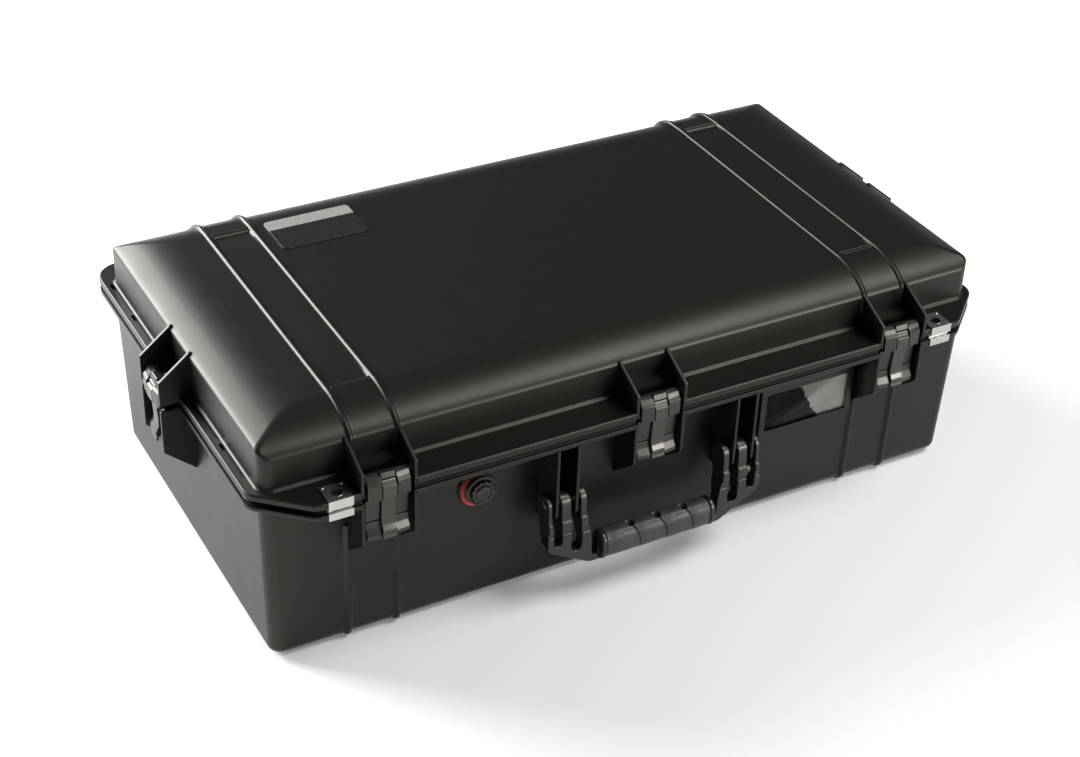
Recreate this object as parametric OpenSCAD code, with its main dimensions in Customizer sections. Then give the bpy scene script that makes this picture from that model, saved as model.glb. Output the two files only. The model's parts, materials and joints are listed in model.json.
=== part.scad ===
// Hard-shell carrying case for a drone: hinged domed lid, five press-and-pull latches,
// a drop handle, a pressure valve, a name-card holder and fitted foam.
// Millimetres, +Z up, origin on the floor under the centre of the body; the handle faces -Y.
// Heights are measured from a datum inside the case's floor; stand() sets the feet on z = 0.

/* [Shell] */
// Half length of the lid wall along X, at its foot
lid_half_x = 337.5; // [330:0.5:340]
// Half depth of the lid wall along Y, at its foot
lid_half_y = 175.5; // [172:0.5:178]
// Height of the flat top of the lid
lid_top = 210.5; // [206:0.5:216]
// Wall thickness of both shells
wall = 4; // [3.5:0.5:5]
// Corner radius of the body in plan
corner_r = 11; // [10:1:16]
// Radius of the rounding round the floor of the base
floor_r = 9; // [7:1:12]

/* [Flange] */
// Half length of the flange along X
flange_half_x = 348; // [346:0.5:350]
// Front edge of the flange, latches and handle brackets
front_edge = 207.5; // [205:0.5:210]
// Rear edge of the flange
rear_edge = 202; // [198:0.5:203]
// Height of the mating plane between base and lid
parting = 153.75; // [152:0.25:156]
// Depth of the shadow groove along the mating plane
groove_depth = 3; // [2:0.5:3]

/* [Latches] */
// Distance from the centre to each outer front latch
latch_x = 244.3; // [235:0.1:250]
// Half spacing between the two flanks of a latch
flank_half = 22.5; // [22:0.1:24]
// Half width of a latch
latch_half = 18.3; // [17:0.1:19]
// Half width of the release trigger in its middle
trigger_half = 6.3; // [5:0.1:7]
// Radius of the steel latch pins
latch_pin_r = 2.5; // [2:0.25:3]

/* [Handle] */
// Height of the handle's pivot
handle_z = 90; // [86:1:94]
// Distance of the handle's pivot from the centre, towards the front
handle_y = 199; // [198:0.5:201]
// Inner and outer bracket rib, distance from the centre
bracket_in = 76.5; // [74:0.5:78]
bracket_out = 95.2; // [94:0.1:97]
// Radius of the handle pins
handle_pin_r = 3; // [2.5:0.25:3.5]

/* [Hinge] */
// Distance of the lid hinge axis behind the centre
hinge_y = 212; // [211:0.5:214]
// Outer radius of the hinge knuckles
knuckle_r = 8; // [7:0.5:8]
// Radius of the steel hinge pins
hinge_pin_r = 2.5; // [2:0.25:3]

/* [Interior] */
// Clearance in a running fit, on the radius
fit = 0.05; // [0.02:0.01:0.1]
// Height of the foam block's top
foam_top = 149; // [146:0.5:149]
// Height of the floor of the drone pocket
drone_floor = 44; // [40:1:60]
// Height of the floor of the small pockets
small_floor = 62; // [50:1:80]

/* [Hidden] */
$fn = 48;

shell_colour = [0.10, 0.10, 0.095];
latch_colour = [0.17, 0.17, 0.165];
steel_colour = [0.78, 0.78, 0.76];
foam_colour = [0.16, 0.16, 0.17];

// Heights of the flange faces
gap = 0.15;
base_rim = parting - gap;
lid_rim = parting + gap;
flange_corner_r = 24;
base_lip_top = 151.5;
base_lip_bottom = 147;
lid_lip_bottom = 157;
flange_top = 163;

// The base body
base_top_x = 338.5;
base_top_y = 178;
base_low_x = 335;
base_low_y = 174.5;
body_bottom = -5.6;
cavity_x = 331.5;
cavity_y = 171;
cavity_r = 18;
cavity_floor = body_bottom + wall;
cavity_low_inset = 8;
// The floor runners: how far they and the ribs above them stand out from the walls
runner_in = 224;
runner_out = 267.8;
runner_proud = 4;
feet_bottom = body_bottom - 2.5;
rib_proud = 2;
front_rib_top = 110;

// The lid's dome: where its curve starts and where its flat top begins
front_crease = 190.5;
side_crease = 198;
flat_y = 133;
flat_x = 290;
rib_rise = 1.5;
rib_t = 2.6;
lid_rib_in = 222.4;
lid_rib_out = 262.1;
panel_sink = 1.6;
panel_half = (lid_rib_out - lid_rib_in - rib_t) / 2;
panel_x = (lid_rib_in + lid_rib_out) / 2;
dome_steps = 12;

// Drain slots beside the end walls of the lid: where each starts along Y
slot_starts = [-148, -93, 65, 114];
slot_x = 340.2;
slot_w = 2.4;
slot_length = 50;

// Latch pivot, measured in from the outer edge of the flanks
pivot_in = 11.5;
pivot_z = 166;
side_edge = 364.5;
flank_t = 2.6;
flank_foot = 111;
ledge_foot = 139;
trigger_pin_r = 1.25;
trigger_pin_y = -6.5;
trigger_pin_z = -4;
lid_notch = 7.5;
catch_front = 2.7;

// Core rod of the handle, inside the grip
grip_y = -209.3;
grip_z = 37;
grip_core_r = 6.5;
grip_half = 51;
grip_r = 13;
finger_low = 60;
finger_high = 110;

// Padlock eyes
eye_x = 285.3;
eye_y = -198.7;
eye_r = 4.5;
plate_t = 1.2;
plate_half = 10.5;
plate_back = -187;
sleeve_t = 1.2;

// Pressure valve and name card, both on the front wall
valve_x = -152.5;
valve_z = 112;
valve_face = -179.5;
valve_bore_r = 8;
valve_stem_r = 5;
valve_vent_r = 2.2;
valve_cap_r = 12.5;
valve_back = -167.5;
card_x = 168.5;
card_z = 101;
card_face = -178.6;
card_half_x = 45;
card_half_z = 21.5;

// Seal groove in the lid's rim
seal_x = 339.5;
seal_y = 178.5;
seal_w = 4;
seal_top = 157.6;

// Knuckles of one hinge, outwards from the centre, and the middle and half length of its pin
knuckle_in = [222, 235];
knuckle_mid = [235.4, 254.2];
knuckle_out = [254.6, 267.6];
knuckle_arm = 4;
hinge_x = 244.8;
hinge_pin_half = 22;
handle_pin_x = (bracket_in + bracket_out) / 2;
handle_pin_half = 17;

// ---------------------------------------------------------------- helpers

// Arc points that round the corner b between a and c with radius r
function unit(v) = v / norm(v);
function turn(a, b, c) = acos(unit(a - b) * unit(c - b));
function rounded_corner(a, b, c, r, n = 6) =
    let (
        half = turn(a, b, c) / 2,
        centre = b + unit(unit(a - b) + unit(c - b)) * r / sin(half),
        p = b + unit(a - b) * r / tan(half) - centre,
        q = b + unit(c - b) * r / tan(half) - centre,
        start = atan2(p[1], p[0]),
        raw = atan2(q[1], q[0]) - start,
        sweep = raw > 180 ? raw - 360 : raw < -180 ? raw + 360 : raw
    )
    [for (i = [0 : n]) centre + r * [cos(start + sweep * i / n), sin(start + sweep * i / n)]];

// An outline from rows of [x, y, corner radius]
function outline(rows) =
    let (n = len(rows))
    [for (i = [0 : n - 1])
        let (
            a = rows[(i + n - 1) % n],
            b = rows[i],
            c = rows[(i + 1) % n]
        )
        each (b[2] > 0
            ? rounded_corner([a[0], a[1]], [b[0], b[1]], [c[0], c[1]], b[2])
            : [[b[0], b[1]]])];

module rounded_rect(half_x, half_y, r) {
    square([2 * (half_x - r), 2 * half_y], center = true);
    square([2 * half_x, 2 * (half_y - r)], center = true);
    for (sx = [-1, 1], sy = [-1, 1])
        translate([sx * (half_x - r), sy * (half_y - r)]) circle(r);
}

module slab(half_x, half_y, r, low, high) {
    translate([0, 0, low]) linear_extrude(high - low) rounded_rect(half_x, half_y, r);
}

// A box from its lowest to its highest corner
module block(low, high) {
    translate(low) cube(high - low);
}

// A rod along X, between x0 and x1
module rod_x(x0, x1, y, z, r) {
    translate([x0, y, z]) rotate([0, 90, 0]) cylinder(h = x1 - x0, r = r);
}

// A rod along Y, between y0 and y1
module rod_y(x, y0, y1, z, r) {
    translate([x, y1, z]) rotate([90, 0, 0]) cylinder(h = y1 - y0, r = r);
}

// A plate drawn in Y and Z, extruded along X between x0 and x1
module plate_yz(x0, x1, points) {
    translate([x0, 0, 0]) rotate([90, 0, 90]) linear_extrude(x1 - x0) polygon(points);
}

// ---------------------------------------------------------------- flange outline

// The flange in plan: padlock ears at the two front corners, rounded rear corners
module flange_plan(inset) {
    x = flange_half_x - inset;
    f = front_edge - inset;
    b = rear_edge - inset;
    ear = 38 + 0.4 * inset;
    polygon(outline([
        [-x, b, flange_corner_r], [x, b, flange_corner_r],
        [x, -f + ear, 16], [x - ear * 1.13, -f, 16],
        [-x + ear * 1.13, -f, 16], [-x, -f + ear, 16]
    ]));
}

module flange_layer(inset, low, high) {
    translate([0, 0, low]) linear_extrude(high - low) flange_plan(inset);
}

// ---------------------------------------------------------------- latch stations

// Puts its children at a latch: local origin on the pivot, -Y outwards
module front_station(x) {
    translate([x, pivot_in - front_edge, pivot_z]) children();
}

module side_station(side) {
    translate([side * (side_edge - pivot_in), 0, pivot_z]) rotate([0, 0, side * 90]) children();
}

module all_stations() {
    for (x = [-latch_x, 0, latch_x]) front_station(x) children();
    for (side = [-1, 1]) side_station(side) children();
}

// One pair of flanks from an outline in the station's Y and Z
module flank_pair(points) {
    for (side = [-1, 1])
        plate_yz(side * flank_half - flank_t / 2, side * flank_half + flank_t / 2, points);
}

// ---------------------------------------------------------------- base

module base_body() {
    // inset and rise of the floor rounding at its middle
    mid = floor_r * (1 - cos(45));
    hull() {
        slab(base_low_x - floor_r, base_low_y - floor_r, corner_r - floor_r,
            body_bottom, body_bottom + 0.5, $fn = 32);
        slab(base_low_x - mid, base_low_y - mid, corner_r - mid, body_bottom + mid,
            body_bottom + mid + 0.5, $fn = 32);
        slab(base_low_x, base_low_y, corner_r, body_bottom + floor_r, body_bottom + floor_r + 1,
            $fn = 32);
        slab(base_top_x, base_top_y, corner_r, base_lip_bottom, base_lip_top, $fn = 32);
    }
}

// Ribs on the front and rear walls, joined by a runner under the floor
module base_runner(x) {
    y = base_low_y + runner_proud;
    block([x - rib_t / 2, -y, feet_bottom], [x + rib_t / 2, y, body_bottom + 2]);
    block([x - rib_t / 2, -base_top_y - rib_proud, feet_bottom],
        [x + rib_t / 2, -base_low_y + 2, front_rib_top]);
    block([x - rib_t / 2, base_low_y - 2, feet_bottom],
        [x + rib_t / 2, base_top_y + rib_proud, base_lip_bottom]);
}

module base_flanks(back, foot) {
    flank_pair(outline([
        [-pivot_in, base_lip_top - pivot_z, 0],
        [-pivot_in, flank_foot - pivot_z, 3],
        [back, foot - pivot_z, 0],
        [back + 3, foot - pivot_z, 0],
        [back + 3, base_lip_top - pivot_z, 0]
    ]));
    // the ledge the latch closes over
    block([-flank_half, catch_front, ledge_foot - pivot_z],
        [flank_half, back + 2, base_lip_top - pivot_z]);
}

module handle_bracket(x) {
    plate_yz(x - rib_t / 2, x + rib_t / 2, outline([
        [-base_low_y + 1, base_lip_bottom + 1, 0],
        [-front_edge - 1, base_lip_bottom + 1, 0],
        [-front_edge - 1, handle_z - 10, 6],
        [-handle_y + 4, handle_z - 14, 4],
        [-base_low_y + 1, handle_z - 28, 0]
    ]));
}

module base_knuckle(span, side) {
    low = side > 0 ? span[0] : -span[1];
    high = side > 0 ? span[1] : -span[0];
    rod_x(low, high, hinge_y, parting, knuckle_r);
    plate_yz(low, high, [
        [rear_edge - knuckle_arm, base_lip_bottom], [rear_edge - knuckle_arm, base_rim - 0.1],
        [hinge_y, base_rim - 0.1], [hinge_y, parting - knuckle_r],
        [hinge_y - 3, parting - knuckle_r]
    ]);
    // gusset down to the rear wall
    plate_yz(low + 5, high - 5, [
        [base_low_y, base_lip_bottom + 1], [hinge_y, parting - knuckle_r + 1],
        [base_low_y, 118]
    ]);
}

// Bore for one hinge pin, long enough for all its knuckles
module hinge_bore(side, r) {
    rod_x(side * hinge_x - hinge_pin_half - 8, side * hinge_x + hinge_pin_half + 8, hinge_y, parting, r);
}

// Notch in a flange, open to the front, for the steel sleeve of a padlock eye
module sleeve_notch(side, low) {
    half = eye_r + sleeve_t + fit;
    block([side * eye_x - half, -front_edge - 1, low - 1],
        [side * eye_x + half, eye_y + half, low + 11]);
}

module base_shell() {
    color(shell_colour) difference() {
        union() {
            base_body();
            difference() {
                union() {
                    flange_layer(0, base_lip_bottom, base_lip_top);
                    flange_layer(groove_depth, base_lip_top, base_rim);
                }
                // the flange is cut back where a front latch passes it
                for (x = [-latch_x, 0, latch_x])
                    front_station(x)
                        block([-flank_half, -pivot_in - 5, -25], [flank_half, catch_front, -10]);
            }
            for (x = [-latch_x, 0, latch_x]) front_station(x) base_flanks(18, 86);
            for (side = [-1, 1]) side_station(side) base_flanks(15, 88);
            for (side = [-1, 1], x = [runner_in, runner_out]) base_runner(side * x);
            for (side = [-1, 1], x = [bracket_in, bracket_out]) handle_bracket(side * x);
            for (side = [-1, 1], span = [knuckle_in, knuckle_out]) base_knuckle(span, side);
            rod_y(valve_x, valve_face, -base_low_y + 1, valve_z, 18);
            block([card_x - card_half_x - 2, card_face, card_z - card_half_z - 2],
                [card_x + card_half_x + 2, -base_low_y + 1, card_z + card_half_z + 2]);
        }
        slab(cavity_x, cavity_y, cavity_r, body_bottom + floor_r, parting + 1);
        slab(cavity_x - cavity_low_inset, cavity_y - cavity_low_inset,
            cavity_r - cavity_low_inset / 2, cavity_floor, body_bottom + floor_r + 1);
        for (side = [-1, 1]) {
            hinge_bore(side, hinge_pin_r);
            rod_x(side * handle_pin_x - handle_pin_half - 3, side * handle_pin_x + handle_pin_half + 3,
                -handle_y, handle_z, handle_pin_r);
            sleeve_notch(side, base_lip_bottom);
        }
        rod_y(valve_x, valve_face - 1, -cavity_y + 3, valve_z, valve_bore_r);
    }
}

// A straight-sided pocket in the foam, open at the top
module pocket(low_x, high_x, low_y, high_y, floor) {
    translate([(low_x + high_x) / 2, (low_y + high_y) / 2, floor])
        linear_extrude(foam_top - floor + 1)
            rounded_rect((high_x - low_x) / 2, (high_y - low_y) / 2, 12);
}

module base_foam() {
    color(foam_colour) difference() {
        slab(cavity_x - 0.5, 166.5, cavity_r, body_bottom + floor_r + 0.5, foam_top);
        pocket(-300, 20, -140, 140, drone_floor);
        pocket(50, 300, 14, 140, small_floor);
        for (i = [0 : 2]) pocket(50 + i * 87.5, 125 + i * 87.5, -140, -16, small_floor);
    }
}

module floor_pad() {
    color(foam_colour)
        slab(cavity_x - cavity_low_inset - 1, cavity_y - cavity_low_inset - 1,
            cavity_r - cavity_low_inset / 2 - 1, cavity_floor + 0.2, body_bottom + floor_r);
}

// ---------------------------------------------------------------- pins

module hinge_pin(side) {
    color(steel_colour)
        rod_x(side * hinge_x - hinge_pin_half, side * hinge_x + hinge_pin_half, hinge_y, parting,
            hinge_pin_r);
}

module handle_pin(side) {
    color(steel_colour)
        rod_x(side * handle_pin_x - handle_pin_half, side * handle_pin_x + handle_pin_half,
            -handle_y, handle_z, handle_pin_r);
}

// ---------------------------------------------------------------- pressure valve

module valve_housing() {
    color(latch_colour) difference() {
        union() {
            rod_y(valve_x, valve_face - 2.8, valve_face - 0.8, valve_z, 15);
            rod_y(valve_x, valve_face - 0.8, valve_back, valve_z, valve_bore_r);
            rod_y(valve_x, valve_face - 8.5, valve_face - 2.8, valve_z, valve_stem_r);
        }
        // vent passage through the middle
        rod_y(valve_x, valve_face - 9, valve_back + 1, valve_z, valve_vent_r);
    }
}

module valve_seal() {
    color("firebrick") difference() {
        rod_y(valve_x, valve_face - 0.8, valve_face, valve_z, 16.6);
        rod_y(valve_x, valve_face - 1, valve_face + 1, valve_z, valve_bore_r);
    }
}

module valve_nut() {
    color(latch_colour) difference() {
        translate([valve_x, -168, valve_z]) rotate([90, 0, 0]) cylinder(h = 3, r = 13, $fn = 6);
        rod_y(valve_x, -172, -167, valve_z, valve_bore_r);
    }
}

module valve_cap() {
    flutes = 12;
    color(latch_colour) difference() {
        rod_y(valve_x, valve_face - 9.5, valve_face - 3.2, valve_z, valve_cap_r);
        rod_y(valve_x, valve_face - 8.7, valve_face - 3, valve_z, valve_stem_r + fit);
        for (i = [0 : flutes - 1])
            rotate_about_valve(i * 360 / flutes)
                rod_y(valve_x + valve_cap_r + 0.9, valve_face - 10, valve_face - 5, valve_z, 2);
    }
}

module rotate_about_valve(angle) {
    translate([valve_x, 0, valve_z]) rotate([0, angle, 0]) translate([-valve_x, 0, -valve_z])
        children();
}

// ---------------------------------------------------------------- padlock plates

// A plate on a flange from height low, its folded front face and its sleeve through the flange
module padlock_plate(side, low, face, sleeve) {
    color(steel_colour) difference() {
        union() {
            block([side * eye_x - plate_half, -front_edge - plate_t, low],
                [side * eye_x + plate_half, plate_back, low + plate_t]);
            block([side * eye_x - plate_half, -front_edge - plate_t, face[0]],
                [side * eye_x + plate_half, -front_edge, face[1]]);
            translate([side * eye_x, eye_y, sleeve[0]])
                cylinder(h = sleeve[1] - sleeve[0], r = eye_r + sleeve_t);
        }
        translate([side * eye_x, eye_y, sleeve[0] - 1])
            cylinder(h = sleeve[1] - sleeve[0] + 2, r = eye_r);
    }
}

module padlock_plate_lid(side) {
    top = flange_top + plate_t;
    padlock_plate(side, flange_top, [lid_lip_bottom, top], [lid_rim, top]);
}

module padlock_plate_base(side) {
    bottom = base_lip_bottom - plate_t;
    padlock_plate(side, bottom, [bottom, base_lip_top], [bottom, base_rim]);
}

// ---------------------------------------------------------------- name-card holder

// A block as large as the card, grown by proud on every side, between two depths
module card_block(proud, front, back) {
    block([card_x - card_half_x - proud, front, card_z - card_half_z - proud],
        [card_x + card_half_x + proud, back, card_z + card_half_z + proud]);
}

module card_frame() {
    color(shell_colour) difference() {
        card_block(3.5, card_face - 3, card_face);
        card_block(0.5, card_face - 1.7, card_face + 1);
        card_block(-2.5, card_face - 4, card_face);
    }
}

module name_card() {
    color([0.2, 0.2, 0.21]) card_block(0, card_face - 0.5, card_face);
}

module card_window() {
    color([0.7, 0.72, 0.72, 0.5]) card_block(0, card_face - 1.6, card_face - 0.5);
}

// ---------------------------------------------------------------- lid

// A cross-section of the dome: wall to the crease, then a quarter ellipse to the flat top
function dome_profile(half, flat, crease, top, low, grow = 0) =
    let (
        rise = top - crease,
        side = [for (i = [0 : dome_steps])
            let (t = i * 90 / dome_steps)
            [flat + (half + grow - flat) * cos(t), crease + (rise + grow) * sin(t)]]
    )
    concat(
        [[-(half + grow), low], [half + grow, low]],
        side,
        [for (i = [dome_steps : -1 : 0]) [-side[i][0], side[i][1]]]
    );

// The solid dome, shrunk by inset on every side
module dome(inset, low) {
    intersection() {
        rotate([90, 0, 90]) translate([0, 0, -400]) linear_extrude(800)
            polygon(dome_profile(lid_half_y, flat_y, front_crease, lid_top, low, -inset));
        rotate([90, 0, 0]) translate([0, 0, -300]) linear_extrude(600)
            polygon(dome_profile(lid_half_x, flat_x, side_crease, lid_top, low, -inset));
        slab(lid_half_x - inset, lid_half_y - inset, corner_r - inset / 2, low, lid_top + 1);
    }
}

// A raised rib that runs over the dome from front to rear
module dome_rib(x) {
    translate([x - rib_t / 2, 0, 0]) rotate([90, 0, 90]) linear_extrude(rib_t) difference() {
        polygon(dome_profile(lid_half_y, flat_y, front_crease, lid_top, flange_top - 1, rib_rise));
        polygon(dome_profile(lid_half_y, flat_y, front_crease, lid_top, flange_top - 2, -2));
    }
}

// Flank walls of a latch on the lid, with the wall that closes the pocket behind it
module lid_flanks(back, peak) {
    flank_pair(outline([
        [-pivot_in, lid_lip_bottom - pivot_z, 0],
        [back + 4, lid_lip_bottom - pivot_z, 0],
        [back + 4, peak - pivot_z, 0],
        [back + 1, peak - pivot_z, 0],
        [-pivot_in, 13.5, 0]
    ]));
    plate_yz(-flank_half, flank_half, [
        [lid_notch + 2, -3], [back + 3, -3], [back + 3, peak - pivot_z - 6],
        [back - 1, peak - pivot_z - 6], [lid_notch + 2, 12]
    ]);
}

module lid_knuckle(side) {
    low = side > 0 ? knuckle_mid[0] : -knuckle_mid[1];
    high = side > 0 ? knuckle_mid[1] : -knuckle_mid[0];
    rod_x(low, high, hinge_y, parting, knuckle_r);
    plate_yz(low, high, [
        [rear_edge - knuckle_arm, lid_rim + 0.1], [hinge_y, lid_rim + 0.1],
        [hinge_y, parting + knuckle_r], [hinge_y - 3, parting + knuckle_r],
        [rear_edge - knuckle_arm, flange_top]
    ]);
}

module lid_shell() {
    color(shell_colour) difference() {
        union() {
            dome(0, lid_rim);
            difference() {
                union() {
                    flange_layer(0, lid_lip_bottom, flange_top);
                    flange_layer(groove_depth, lid_rim, lid_lip_bottom);
                }
                all_stations()
                    block([-flank_half, -pivot_in - 5, -15], [flank_half, lid_notch, 0]);
            }
            for (x = [-latch_x, 0, latch_x]) front_station(x) lid_flanks(20, 194.6);
            for (side = [-1, 1]) side_station(side) lid_flanks(15, 202);
            for (side = [-1, 1], x = [lid_rib_in, lid_rib_out]) dome_rib(side * x);
            for (side = [-1, 1]) lid_knuckle(side);
        }
        dome(wall, lid_rim - 1);
        // recessed panels between the ribs
        for (side = [-1, 1])
            block([side * panel_x - panel_half, -flat_y, lid_top - panel_sink],
                [side * panel_x + panel_half, flat_y, lid_top + 5]);
        // seal groove
        difference() {
            slab(seal_x + seal_w / 2, seal_y + seal_w / 2, flange_corner_r + seal_w / 2,
                lid_rim - 1, seal_top);
            slab(seal_x - seal_w / 2, seal_y - seal_w / 2, flange_corner_r - seal_w / 2, lid_rim - 2,
                seal_top + 1);
        }
        for (side = [-1, 1]) {
            hinge_bore(side, hinge_pin_r + fit);
            sleeve_notch(side, lid_rim);
            for (start = slot_starts)
                block([side * slot_x - slot_w / 2, start, flange_top - 2],
                    [side * slot_x + slot_w / 2, start + slot_length, flange_top + 1]);
        }
        all_stations() rod_x(-flank_half - 4, flank_half + 4, 0, 0, latch_pin_r);
    }
}

module lid_gasket() {
    color([0.05, 0.05, 0.05]) difference() {
        slab(seal_x + seal_w / 2 - 0.1, seal_y + seal_w / 2 - 0.1, flange_corner_r + seal_w / 2 - 0.1,
            lid_rim, seal_top - 0.1);
        slab(seal_x - seal_w / 2 + 0.1, seal_y - seal_w / 2 + 0.1, flange_corner_r - seal_w / 2 + 0.1,
            lid_rim - 1, seal_top);
    }
}

module lid_foam() {
    color(foam_colour) dome(wall + 0.6, lid_rim + 0.6);
}

module label_plate() {
    color([0.3, 0.3, 0.3]) translate([-170.5, 106.8, lid_top]) linear_extrude(0.8)
        rounded_rect(40.5, 25.2, 4);
}

// ---------------------------------------------------------------- latches

// Front outline of the side columns, in the station's Y and Z
column_front = [
    [-3.2, 6.2, 2.5], [-8, 4, 2], [-11, -0.5, 1.5], [-11, -14.5, 1], [-6.5, -17, 2],
    [-4.8, -38, 3], [-9, -45, 4], [-9, -54, 2.5]
];

// Front outline of the middle column: block above, trigger below
trigger_front = [
    [-9.5, 1, 1], [-11.9, -1.5, 1.5], [-11.9, -14.5, 1.2], [-8.5, -17.5, 2], [-7.5, -36, 6],
    [-11, -46, 4], [-11.5, -54.5, 2]
];

module latch_lever() {
    web_back = 2;
    // middle and half width of a side column
    column_x = (latch_half + trigger_half + 0.6) / 2;
    column_half = (latch_half - trigger_half - 0.6) / 2;
    color(latch_colour) difference() {
        union() {
            for (side = [-1, 1])
                plate_yz(side * column_x - column_half, side * column_x + column_half,
                    outline(concat(column_front, [[-2, -54, 1], [web_back, -38, 2], [web_back, 4, 2]])));
            rod_x(-latch_half, latch_half, 0, 0, 3.7);
            // block over the trigger, and the web behind it
            plate_yz(-latch_half, latch_half, outline([
                [2, 6.2, 2], [-7, 6.8, 1.5], [-9.5, 2.4, 0], [-5.5, 2.4, 0], [-3, 0, 0], [2, 0, 0]
            ]));
            plate_yz(-latch_half, latch_half, [[-1, 0], [-1, -37], [web_back, -37], [web_back, 0]]);
        }
        rod_x(-latch_half - 1, latch_half + 1, 0, 0, latch_pin_r + fit);
        rod_x(-latch_half + 3, latch_half - 3, trigger_pin_y, trigger_pin_z, trigger_pin_r);
        // slits across the lower columns
        for (side = [-1, 1])
            block([side * column_x - 8, -12, -38.6], [side * column_x + 8, -3.6, -37.4]);
    }
}

module trigger() {
    color(latch_colour) difference() {
        plate_yz(-trigger_half, trigger_half, outline(concat(trigger_front, [
            [-8, -54.5, 1.5], [-4.5, -40, 4], [-4.4, -12, 2], [-4.4, -7, 0], [-4.4, -2, 1],
            [-6, 1, 1]
        ])));
        rod_x(-trigger_half - 1, trigger_half + 1, trigger_pin_y, trigger_pin_z,
            trigger_pin_r + fit);
    }
}

module trigger_pin() {
    color(steel_colour)
        rod_x(-latch_half + 3.2, latch_half - 3.2, trigger_pin_y, trigger_pin_z, trigger_pin_r);
}

// Leaf spring between the web and the trigger
module release_spring() {
    color(steel_colour)
        plate_yz(-4, 4, [[-1, -14], [-1, -26], [-1.6, -26], [-3.2, -34], [-3.6, -34], [-1.9, -25.6],
            [-1.6, -14]]);
}

module latch_pins() {
    color(steel_colour)
        all_stations() rod_x(-flank_half - flank_t / 2, flank_half + flank_t / 2, 0, 0, latch_pin_r);
}

// ---------------------------------------------------------------- handle

// A finger of the handle, drawn in Y and Z
module finger(x, half, foot) {
    plate_yz(x - half, x + half, outline([
        [-handle_y + 7, handle_z + 4, 5], [-handle_y - 3, handle_z + 9, 5],
        [-handle_y - 8, handle_z, 5],
        [-handle_y - 11, handle_z - 14, 4], [-handle_y - 15, handle_z - 24, 4],
        [-handle_y - 15.5, handle_z - 34, 3],
        [-handle_y - 16.5, foot, 3], [-handle_y - 4.5, foot, 3], [-handle_y + 6, handle_z - 20, 6]
    ]));
}

// Front view of the bar that joins the fingers, in X and Z
module handle_bar() {
    half = [
        [105, 57, 2], [105, 48, 5], [66, 26, 10]
    ];
    translate([0, -handle_y - 3, 0]) rotate([90, 0, 0]) linear_extrude(15)
        polygon(outline(concat(
            half,
            [for (i = [2 : -1 : 0]) [-half[i][0], half[i][1], half[i][2]]],
            [[-92, 52, 3], [-62, 38, 6], [62, 38, 6], [92, 52, 3]]
        )));
}

module handle_frame() {
    color(latch_colour) difference() {
        union() {
            for (side = [-1, 1]) {
                // outer, middle and inner finger: middle, half thickness and height of its foot
                finger(side * 101.2, 3.4, 50);
                finger(side * handle_pin_x, 7, 42);
                finger(side * 68, 6, 34);
            }
            handle_bar();
            rod_x(-64, 64, grip_y, grip_z, grip_core_r);
        }
        for (span = [[-finger_high, -finger_low], [finger_low, finger_high]])
            rod_x(span[0], span[1], -handle_y, handle_z, handle_pin_r + fit);
    }
}

module handle_grip() {
    color([0.13, 0.13, 0.12]) difference() {
        intersection() {
            rod_x(-grip_half, grip_half, -handle_y - 11, 41.5, grip_r);
            block([-grip_half, -handle_y - 21, 27], [grip_half, -handle_y - 1, 56]);
        }
        rod_x(-grip_half - 1, grip_half + 1, grip_y, grip_z, grip_core_r);
        handle_bar();
    }
}

// Lifts what it is given until the case's feet are on the floor
module stand() {
    translate([0, 0, -feet_bottom]) children();
}

// ---------------------------------------------------------------- nodes

stand() base_shell();
stand() base_foam();
stand() floor_pad();
stand() hinge_pin(-1);  // hinge_pin_left
stand() hinge_pin(1);  // hinge_pin_right
stand() handle_pin(-1);  // handle_pin_left
stand() handle_pin(1);  // handle_pin_right
stand() valve_housing();
stand() valve_nut();
stand() valve_seal();
stand() valve_cap();
stand() padlock_plate_base(-1);  // padlock_plate_base_left
stand() padlock_plate_base(1);  // padlock_plate_base_right
stand() card_frame();
stand() card_window();
stand() name_card();
stand() lid_shell();
stand() lid_gasket();
stand() lid_foam();
stand() padlock_plate_lid(-1);  // padlock_plate_lid_left
stand() padlock_plate_lid(1);  // padlock_plate_lid_right
stand() label_plate();
stand() latch_pins();
stand() front_station(-latch_x) latch_lever();  // latch_front_left
stand() front_station(0) latch_lever();  // latch_front_centre
stand() front_station(latch_x) latch_lever();  // latch_front_right
stand() side_station(-1) latch_lever();  // latch_side_left
stand() side_station(1) latch_lever();  // latch_side_right
stand() front_station(-latch_x) trigger();  // trigger_front_left
stand() front_station(0) trigger();  // trigger_front_centre
stand() front_station(latch_x) trigger();  // trigger_front_right
stand() side_station(-1) trigger();  // trigger_side_left
stand() side_station(1) trigger();  // trigger_side_right
stand() front_station(-latch_x) trigger_pin();  // trigger_pin_front_left
stand() front_station(0) trigger_pin();  // trigger_pin_front_centre
stand() front_station(latch_x) trigger_pin();  // trigger_pin_front_right
stand() side_station(-1) trigger_pin();  // trigger_pin_side_left
stand() side_station(1) trigger_pin();  // trigger_pin_side_right
stand() front_station(-latch_x) release_spring();  // spring_front_left
stand() front_station(0) release_spring();  // spring_front_centre
stand() front_station(latch_x) release_spring();  // spring_front_right
stand() side_station(-1) release_spring();  // spring_side_left
stand() side_station(1) release_spring();  // spring_side_right
stand() handle_frame();
stand() handle_grip();
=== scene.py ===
"""Looks of a hard-shell drone carrying case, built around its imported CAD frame.

Lengths are in millimetres unless a name ends in _m; meshes are made in metres.
Heights count from the part's datum, which stands DATUM above the floor.
+X runs along the case, -Y points to the handle and the front latches, +Z is up.
"""

import json
import math

import bmesh
import bpy
from mathutils import Matrix, Vector


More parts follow.
